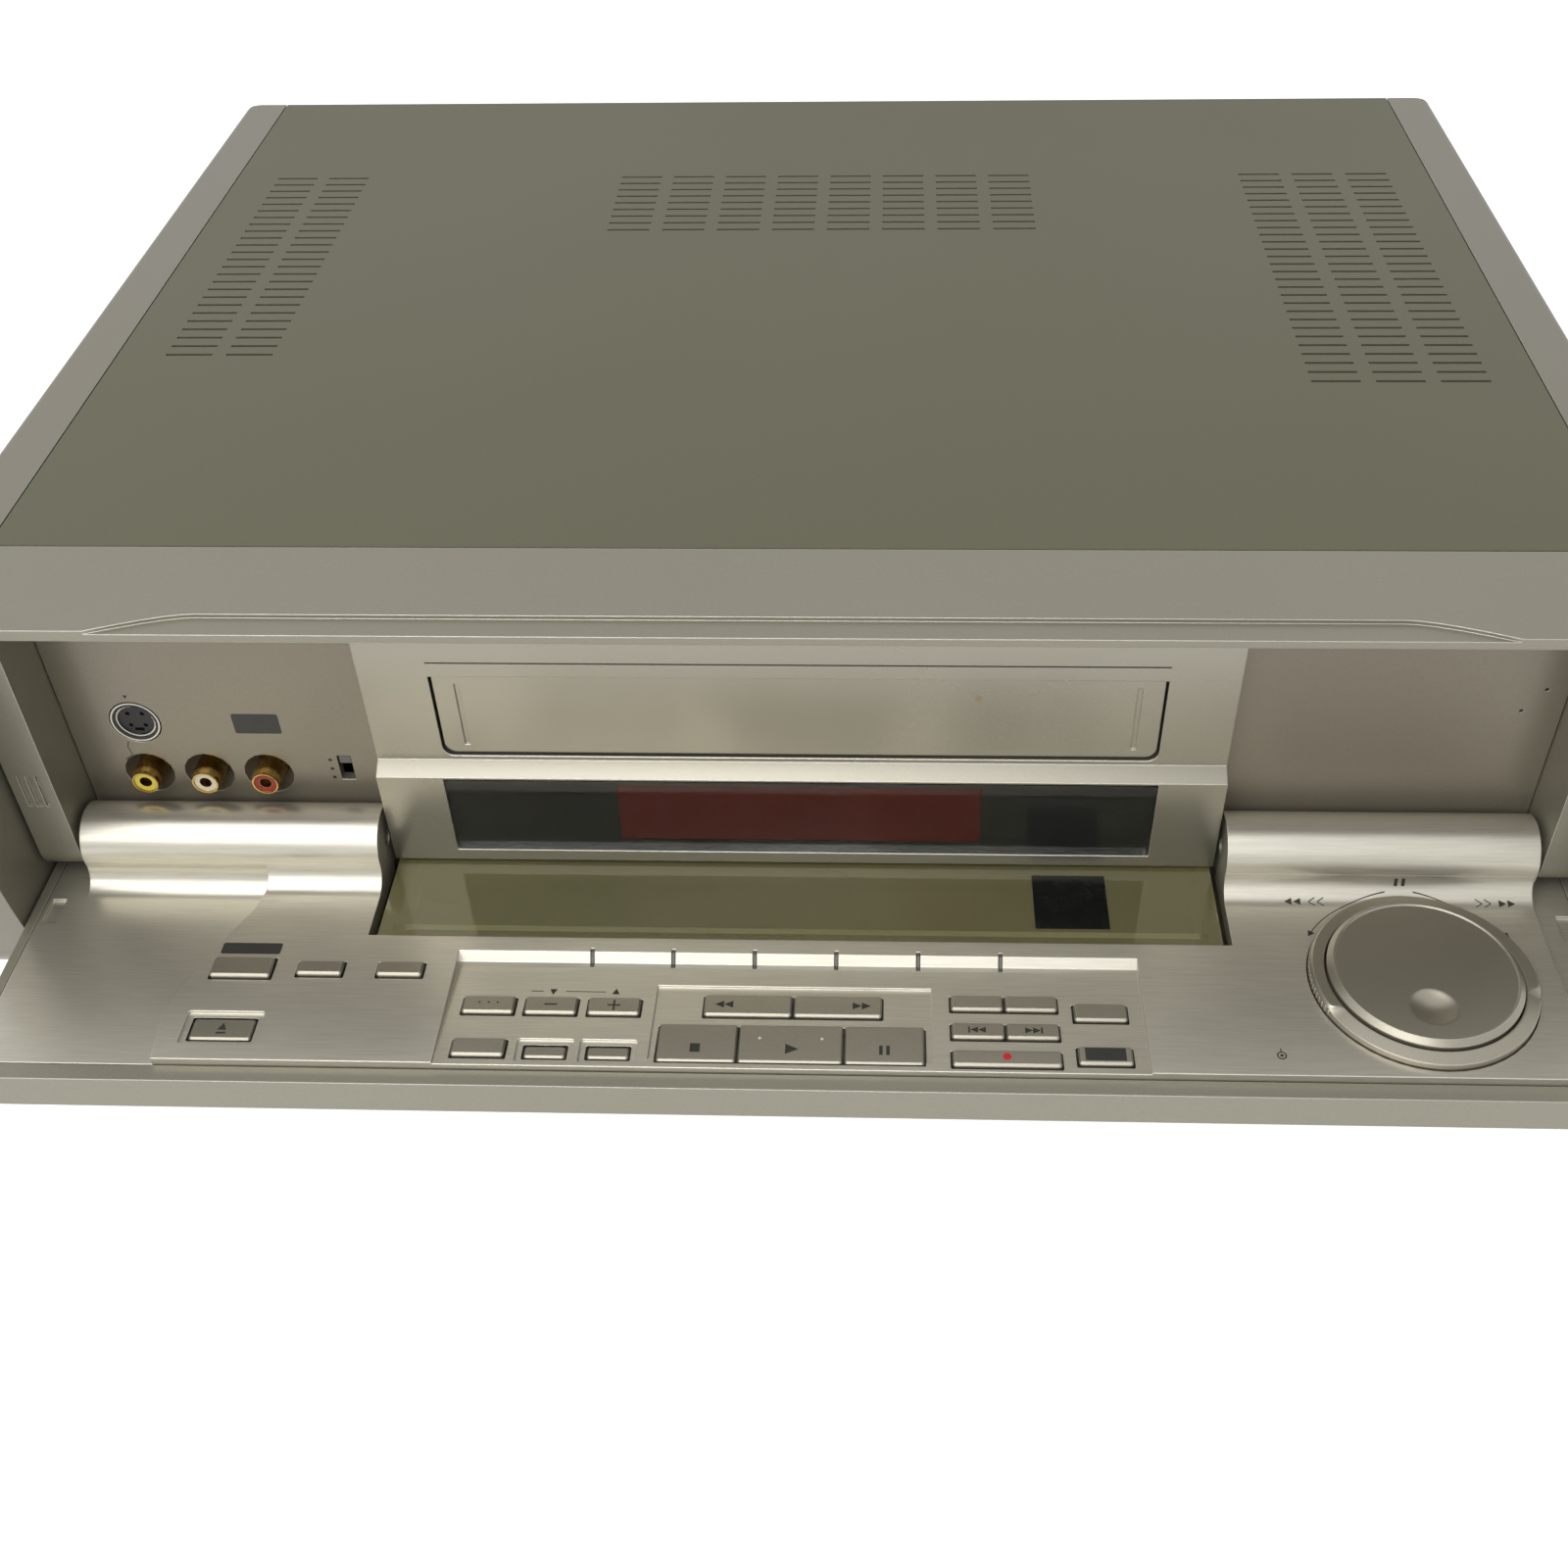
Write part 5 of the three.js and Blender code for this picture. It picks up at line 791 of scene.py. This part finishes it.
INK = printed("grey_ink", rgb(26, 25, 20), rgb(40, 38, 32))
DARK_PLATE = printed("dark_plate", rgb(34, 34, 32), rgb(46, 46, 43), 0.45)
# Black film is the flap window's dark filter, and painted shade in the gaps, the socket bores and
# the screw crosses
BLACK_FILM_AND_SHADE = printed("black_film_and_shade", rgb(6, 6, 6), rgb(14, 14, 13), 0.25)
MASK_GREY = printed("mask_grey", rgb(40, 41, 38), rgb(49, 50, 46), 0.5)
RED_INK = printed("red_ink", rgb(186, 28, 26), rgb(206, 40, 36))
YELLOW_CORE = printed("yellow_core", rgb(206, 190, 62), rgb(226, 210, 84), 0.3)
WHITE_CORE = printed("white_core", rgb(206, 200, 176), rgb(226, 220, 198), 0.3)
RED_CORE = printed("red_core", rgb(128, 12, 11), rgb(150, 18, 16), 0.3)
BRIGHT_RIM = printed("bright_rim", rgb(214, 210, 196), rgb(232, 229, 216), 0.25)
WORN_SPOT = printed("worn_spot", rgb(140, 122, 88), rgb(164, 148, 112), 0.6)

# Pictograms on the key tops, about each key's middle
KEY_MARKS = {
    "key_minus": bar(0, 0, 3.4, 0.5),
    "key_plus": bar(0, 0, 3.4, 0.5) + bar(0, 1.0, 0.5, 1.5) + bar(0, -1.0, 0.5, 1.5),
    "key_navigation": disc(-2.4, 0.4, 0.3, 10) + disc(0, 0.4, 0.3, 10) + disc(2.4, 0.4, 0.3, 10),
    "key_rewind": arrow(-7.2, 0, 1.5, LEFT) + arrow(-4.8, 0, 1.5, LEFT),
    "key_fast_forward": arrow(4.8, 0, 1.5, RIGHT) + arrow(7.2, 0, 1.5, RIGHT),
    "key_stop": bar(-0.4, -1.8, 2.6, 2.8),
    "key_play": arrow(0, -1.8, 2.1, RIGHT),
    "key_pause": bar(-0.9, -1.8, 0.9, 3.0) + bar(0.9, -1.8, 0.9, 3.0),
    "key_previous": bar(-2.3, 0, 0.45, 2) + arrow(-0.8, 0, 1.25, LEFT) + arrow(1.2, 0, 1.25, LEFT),
    "key_next": arrow(-1.2, 0, 1.25, RIGHT) + arrow(0.8, 0, 1.25, RIGHT) + bar(2.3, 0, 0.45, 2),
    "key_eject": arrow(0, 0.6, 1.5, UP) + bar(0, -1.3, 2.6, 0.6),
    "key_record": disc(0, 0.3, 1.1),
    "key_speed": bar(0, 0.2, 10.3, 4.05),
}
KEY_INKS = {"key_record": RED_INK, "key_speed": DARK_PLATE}


def mark_keys():
    """Pictograms on the key tops, and the play key's two studs."""
    for node, outlines in KEY_MARKS.items():
        place = middle(node)[0][:2]
        moved = [outline + place for outline in outlines]
        print_mark(f"mark_{node}", node, moved, KEY_INKS.get(node, INK))
    x, y = middle("key_play")[0][:2]
    studs = disc(x - STUD_PLACE[0], y + STUD_PLACE[1], STUD_RADIUS, 12)
    studs += disc(x + STUD_PLACE[0], y + STUD_PLACE[1], STUD_RADIUS, 12)
    print_mark("studs_key_play", "key_play", studs, BRIGHT_RIM)


def mark_panel():
    """Prints on the inner panel: the key pair's arrows and a bare dark plate over the power key."""
    node = "flap_inner_panel"
    (minus_x, key_y, _), (_, key_half, _) = middle("key_minus")
    plus_x = middle("key_plus")[0][0]
    row_y = key_y + key_half + PAIR_RISE
    near, far = PAIR_LINE
    outlines = arrow(minus_x - PAIR_SHIFT, row_y, SMALL_ARROW, DOWN)
    outlines += arrow(plus_x - PAIR_SHIFT, row_y, SMALL_ARROW, UP)
    outlines += line([(minus_x + near, row_y), (plus_x - near, row_y)], THIN_LINE)
    outlines += line([(minus_x - far, row_y), (minus_x - near, row_y)], THIN_LINE)
    print_mark("marks_keys", node, outlines, INK)
    (power_x, power_y, _), (power_half, power_deep, _) = middle("key_power")
    plate_x, plate_y = power_x + POWER_PLATE_SHIFT[0], power_y + power_deep + POWER_PLATE_SHIFT[1]
    plate = rounded(plate_x, plate_y, 2 * power_half, POWER_PLATE_DEEP, POWER_PLATE_CORNER)
    print_mark("plate_power", node, plate, DARK_PLATE)


def shade_gaps():
    """Painted shade: dark bands in the gaps round the keys and over the door, from the moving piece
    outward.
    """
    for row in frame["record"]["subparts"]:
        node = row["node"]
        if not node.startswith("key_"):
            continue
        x, y, wide, deep = crowns[node]
        near = rounded(x, y, wide + GAP_SHADE_START, deep + GAP_SHADE_START, GAP_SHADE_CORNERS[0])[0]
        far = rounded(x, y, wide + GAP_SHADE, deep + GAP_SHADE, GAP_SHADE_CORNERS[1])[0]
        band = np.stack([near, far, np.roll(far, -1, axis=0), np.roll(near, -1, axis=0)], axis=1)
        reach = deep / 2 + GAP_SHADE * GAP_SHADE_PROBE
        spot = (x, y - reach, y + reach)
        print_mark(f"gap_{node}", "flap_inner_panel", list(band), BLACK_FILM_AND_SHADE, spot=spot, probes=2)
    (x, _, z), (wide, _, high) = middle("cassette_door")
    top = z + high + GAP_SHADE * DOOR_GAP_SHADE_LIFT
    door_shade = bar(x, top, 2 * wide - DOOR_GAP_SHADE_INSET, GAP_SHADE / 2)
    print_mark("gap_door", "fascia", door_shade, BLACK_FILM_AND_SHADE, "front", (x, top + GAP_SHADE))


def mark_dial():
    """Prints round the dial: a pause mark, arcs that end in arrows, filled and open arrows."""
    (x, y, _), (radius, _, _) = middle("shuttle_ring")
    bend = radius + ARC_GAP
    pause_y = y + bend + PAUSE_SHIFT[1]
    outlines = bar(x - PAUSE_SHIFT[0], pause_y, *PAUSE_BAR)
    outlines += bar(x + PAUSE_SHIFT[0], pause_y, *PAUSE_BAR)
    row_y = y + radius - DIAL_ROW_DROP
    half_long, half_high = OPEN_HALF
    for way, turn in ((-1, LEFT), (1, RIGHT)):
        start, end = (90 - way * part for part in ARC_TURNS)
        points = arc(x, y, bend, start, end, ARC_POINTS)
        outlines += line(points, THIN_LINE)
        step = points[-1] - points[-2]
        outlines += arrow(*points[-1], SMALL_ARROW, math.degrees(math.atan2(step[1], step[0])))
        for reach in SOLID_ARROWS:
            outlines += arrow(x + way * reach, row_y, DIAL_ARROW, turn)
        for reach in OPEN_ARROWS:
            tip, back = x + way * (reach + half_long), x + way * (reach - half_long)
            corners = [(back, row_y + half_high), (tip, row_y), (back, row_y - half_high)]
            outlines += line(corners, THIN_LINE)
    jog_x, jog_y = x - JOG_PLACE[0], y - JOG_PLACE[1]
    span = np.concatenate(outlines)[:, 1]
    spot = (jog_x, span.min(), span.max())
    print_mark("marks_dial", "flap_inner_panel", outlines, INK, spot=spot)
    outlines = ring(jog_x, jog_y, *JOG_RING, 19) + disc(jog_x, jog_y, JOG_DOT, 10)
    outlines += line([(jog_x, jog_y + JOG_RING[1]), (jog_x, jog_y + JOG_TAIL)], THIN_LINE)
    print_mark("mark_jog", "flap_inner_panel", outlines, INK)


def mark_front():
    """Prints and coloured cores on the front sockets' panel, black discs of painted shade down
    their bores, and a worn spot on the door.
    """
    (jack_x, _, jack_z), (jack_half, _, _) = middle("s_video_jack")
    phono_x, _, phono_z = middle("phono_jack_video")[0]
    outlines = arrow(jack_x - PAIR_SHIFT, jack_z + jack_half + JACK_ARROW_RISE, JACK_ARROW, DOWN)
    leader = [(jack_x + across, jack_z + up) for across, up in LEADER]
    leader.append((phono_x + LEADER_END[0], phono_z + LEADER_END[1]))
    outlines += line(leader, THIN_LINE)
    slot_x, _, slot_z = middle("remote_code_switch")[0]
    for across, up in SWITCH_DOTS:
        outlines += bar(slot_x + across, slot_z + up, *SWITCH_DOT)
    print_mark("marks_front", "jack_panel", outlines, INK, "front", INPUT_PLATE)
    plate = rounded(*INPUT_PLATE, *INPUT_PLATE_SIZE)
    print_mark("plate_input", "jack_panel", plate, DARK_PLATE, "front", INPUT_PLATE)
    cores = {"video": YELLOW_CORE, "audio_left": WHITE_CORE, "audio_right": RED_CORE}
    for source, core in cores.items():
        node = f"phono_jack_{source}"
        x, _, z = middle(node)[0]
        on_core = (x + (CORE_INNER + CORE_OUTER) / 2, z)
        circle = ring(x, z, CORE_INNER, CORE_OUTER)
        print_mark(f"core_{source}", node, circle, core, "front", on_core)
        # Painted shade: a black disc sunk down each bore
        bore_shade = disc(x, z, CORE_INNER - BORE_MARGIN)
        print_mark(f"bore_shade_{source}", node, bore_shade, BLACK_FILM_AND_SHADE, "front", on_core, BORE_SINK)
    for name, span, reach in (
        ("rim_s_video", JACK_RIM, JACK_RIM_SPOT),
        ("shell_s_video", JACK_SHELL, JACK_SHELL_SPOT),
    ):
        circle = ring(jack_x, jack_z, *span)
        print_mark(name, "s_video_jack", circle, BRIGHT_RIM, "front", (jack_x + reach, jack_z))
    print_mark("spot_door", "cassette_door", disc(*DOOR_SPOT, 12), WORN_SPOT, "front")


def mark_windows():
    """The dark field on the flap's window, and the mask behind the display glass.

    The mask is a flat grid of four by four points without its middle quad, where the tube shows.
    """
    print_mark("field_flap_window", "flap_window", bar(*WINDOW_FIELD), BLACK_FILM_AND_SHADE)
    (glass_x, _, glass_z), (half_x, _, half_z) = middle("display_window")
    (_, _, tube_z), (tube_half, _, tube_high) = middle("display_tube")
    across = glass_x + np.array([-half_x, -tube_half, tube_half, half_x])
    up = np.array([glass_z - half_z, tube_z - tube_high, tube_z + tube_high, glass_z + half_z])
    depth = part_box("display_window")[1][1] / MM + MASK_GAP
    wide, high = np.meshgrid(across, up)
    cell = (np.arange(3)[:, None] * 4 + np.arange(3)).reshape(-1)
    faces = np.delete(np.stack([cell, cell + 1, cell + 5, cell + 4], axis=-1), 4, axis=0)
    places = np.stack([wide, depth + 0 * wide, high], axis=-1)
    add_piece("mask_display", places * MM, faces.tolist(), MASK_GREY, "housing")


def make_grips():
    """Upright ribs at equal turns on both sides of the ring's wall, each of three upright edges.

    An edge stands at the ring's middle + the turn's direction * (radius +- how proud) + the
    sideways direction * (- half width, 0, + half width), at two heights; the middle one is proud.
    """
    (x, y, centre), (radius, _, half) = middle("shuttle_ring")
    ways = np.radians(np.concatenate([np.arange(*span, GRIP_STEP) for span in GRIP_SPANS]))
    out = np.stack([np.cos(ways), np.sin(ways)], axis=-1)[:, None, None, :]
    side = np.stack([-np.sin(ways), np.cos(ways)], axis=-1)[:, None, None, :]
    reach = radius + GRIP_PROUD * np.array([-1.0, 1.0, -1.0])[:, None]
    across = GRIP_HALF * np.array([-1.0, 0.0, 1.0])[:, None]
    levels = centre + half - np.array(GRIP_DROPS)[:, None, None]
    flat = np.array((x, y)) + out * reach + side * across + np.zeros((2, 1, 1))
    places = np.concatenate([flat, levels + np.zeros(flat.shape[:3] + (1,))], axis=-1)
    first = np.arange(len(ways))[:, None] * 6
    quads = np.concatenate([first + np.array([0, 1, 4, 3]), first + np.array([1, 2, 5, 4])])
    caps = first + np.array([3, 4, 5])
    faces = quads.tolist() + caps.tolist()
    add_piece("ring_grips", places * MM, faces, FINISHES["key_silver"], "shuttle_ring")


def turned_rows(centres, rows, sides):
    """Circles about lines along Y through the centres (x, z), one per row of (radius, depth).

    A point is x + radius * cosine of its turn, depth, z + radius * sine of its turn.
    """
    centres, rows = np.array(centres, float), np.array(rows)
    ways = full_turn(sides)
    x = centres[:, 0, None, None] + rows[:, 0, None] * np.cos(ways)
    z = centres[:, 1, None, None] + rows[:, 0, None] * np.sin(ways)
    depth = rows[:, 1, None] + 0 * x
    faces = grid_faces(len(rows), sides)
    offsets = np.arange(len(centres))[:, None, None] * len(rows) * sides
    return np.stack([x, depth, z], axis=-1) * MM, (faces + offsets).reshape(-1, 4)[:, ::-1].tolist()


def make_screws():
    """Pan heads on the rear panel, each a dome of circles with a dark cross of two bars: painted
    shade where the cross recess would be.
    """
    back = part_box("rear_panel")[1][1] / MM
    dome = [(radius, back + proud) for radius, proud in SCREW_DOME]
    places, faces = turned_rows(SCREW_PLACES, dome, SCREW_SIDES)
    tips = (np.arange(1, len(SCREW_PLACES) + 1)[:, None] * len(dome) - 1) * SCREW_SIDES
    faces += (tips + np.arange(SCREW_SIDES)[::-1]).tolist()
    add_piece("screws_rear", places, faces, FINISHES["zinc_steel"], "housing", SMOOTH_ANGLE)
    # Painted shade: black bars where the cross recesses are
    bars = []
    for place in SCREW_PLACES:
        bars += bar(*place, *CROSS_BAR) + bar(*place, *CROSS_BAR[::-1])
    flat = np.concatenate(bars)
    level = back + SCREW_DOME[-1][1] + CROSS_LIFT
    places = np.stack([flat[:, 0], level + 0 * flat[:, 0], flat[:, 1]], axis=-1)
    faces = np.arange(len(flat)).reshape(-1, 4)[:, ::-1].tolist()
    add_piece("cross_shade_rear", places * MM, faces, BLACK_FILM_AND_SHADE, "housing")


def plate_rear_jacks():
    """Plated sleeves over the rear sockets, and coloured cores in their mouths."""
    x, _, z = middle("rear_jack_block")[0]
    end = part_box("rear_jack_block")[1][1] / MM
    columns, rows = np.meshgrid(np.arange(REAR_COLUMNS), np.arange(REAR_ROWS))
    columns, rows = columns.reshape(-1), rows.reshape(-1)
    across = (columns - (REAR_COLUMNS - 1) / 2) * REAR_PITCH[0]
    up = (rows - (REAR_ROWS - 1) / 2) * REAR_PITCH[1]
    centres = np.stack([x + across, z + up], axis=-1)
    sleeve = [(radius, end - depth) for radius, depth in REAR_SLEEVE]
    core = [(radius, end - depth) for radius, depth in REAR_CORE]
    places, faces = turned_rows(centres, sleeve, REAR_SIDES)
    add_piece("sleeves_rear", places, faces, FINISHES["gold"], "housing", SMOOTH_ANGLE)
    video = columns % 3 == 0
    for colour, chosen, material in (
        ("yellow", video, YELLOW_CORE),
        ("white", ~video & (rows == 1), WHITE_CORE),
        ("red", ~video & (rows == 0), RED_CORE),
    ):
        places, faces = turned_rows(centres[chosen], core, REAR_SIDES)
        add_piece(f"cores_rear_{colour}", places, faces, material, "housing")


# Stage: a pale floor that reads white, soft lamps and a white sky


def seen_directly(tree):
    """One for camera, glossy and transmitted rays, nought for those that light the recorder."""
    path = add(tree, "ShaderNodeLightPath")
    first = [(0, path.outputs["Is Camera Ray"]), (1, path.outputs["Is Glossy Ray"])]
    shine = add(tree, "ShaderNodeMath", first, operation="MAXIMUM")
    second = [(0, shine.outputs[0]), (1, path.outputs["Is Transmission Ray"])]
    return add(tree, "ShaderNodeMath", second, operation="MAXIMUM").outputs[0]


def make_floor():
    """A pale paper floor that glows for direct looks, so that it is white and keeps the shadow."""
    mesh = bpy.data.meshes.new("floor")
    corners = [(-1, -1), (1, -1), (1, 1), (-1, 1)]
    places = [(FLOOR_REACH * x, FLOOR_REACH * y, 0) for x, y in corners]
    mesh.from_pydata(places, [], [(0, 1, 2, 3)])
    floor = bpy.data.objects.new("floor", mesh)
    bpy.context.scene.collection.objects.link(floor)
    material, tree, shader = new_material("floor_paper")
    grain = use_group(tree, GRAIN, Size=400.0, Height=0.02, Clouds=3.0)
    tone = vary(tree, *FLOOR_TONES, grain.outputs["Cloud"])
    tree.links.new(tone, shader.inputs["Base Color"])
    shader.inputs["Roughness"].default_value = FLOOR_ROUGHNESS
    glow = add(tree, "ShaderNodeEmission", [("Strength", seen_directly(tree))])
    both = add(tree, "ShaderNodeAddShader", [(0, shader.outputs[0]), (1, glow.outputs[0])])
    glow.inputs["Color"].default_value = FLOOR_GLOW
    tree.links.new(both.outputs[0], tree.nodes["Material Output"].inputs["Surface"])
    mesh.materials.append(material)


def make_lamp(name, place, target, width, depth, power):
    """A rectangular soft lamp aimed from its place at a target."""
    data = bpy.data.lights.new(name, "AREA")
    data.shape = "RECTANGLE"
    data.size = width
    data.size_y = depth
    data.energy = power
    lamp = bpy.data.objects.new(name, data)
    lamp.location = place
    aim = Vector(target) - Vector(place)
    lamp.rotation_euler = aim.to_track_quat("-Z", "Y").to_euler()
    bpy.context.scene.collection.objects.link(lamp)


def make_world():
    """A weak white sky for the light, and a full white one where it is seen directly."""
    world = bpy.data.worlds.new("studio")
    world.use_nodes = True
    tree = world.node_tree
    sky = tree.nodes["Background"]
    sky.inputs["Color"].default_value = WHITE
    sky.inputs["Strength"].default_value = SKY_STRENGTH
    bright = add(tree, "ShaderNodeBackground")
    bright.inputs["Color"].default_value = WHITE
    bright.inputs["Strength"].default_value = 1.0
    ends = [(0, seen_directly(tree)), (1, sky.outputs[0]), (2, bright.outputs[0])]
    pick = add(tree, "ShaderNodeMixShader", ends)
    tree.links.new(pick.outputs[0], tree.nodes["World Output"].inputs["Surface"])
    bpy.context.scene.world = world


make_camera()
glow_tube()
dress_nodes()
smooth_nodes()
mark_keys()
mark_panel()
mark_dial()
shade_gaps()
mark_front()
mark_windows()
make_grips()
make_screws()
plate_rear_jacks()
make_floor()
make_world()
for lamp_name, lamp_values in LAMPS.items():
    make_lamp(lamp_name, *lamp_values)
bpy.context.scene.view_settings.view_transform = "Standard"
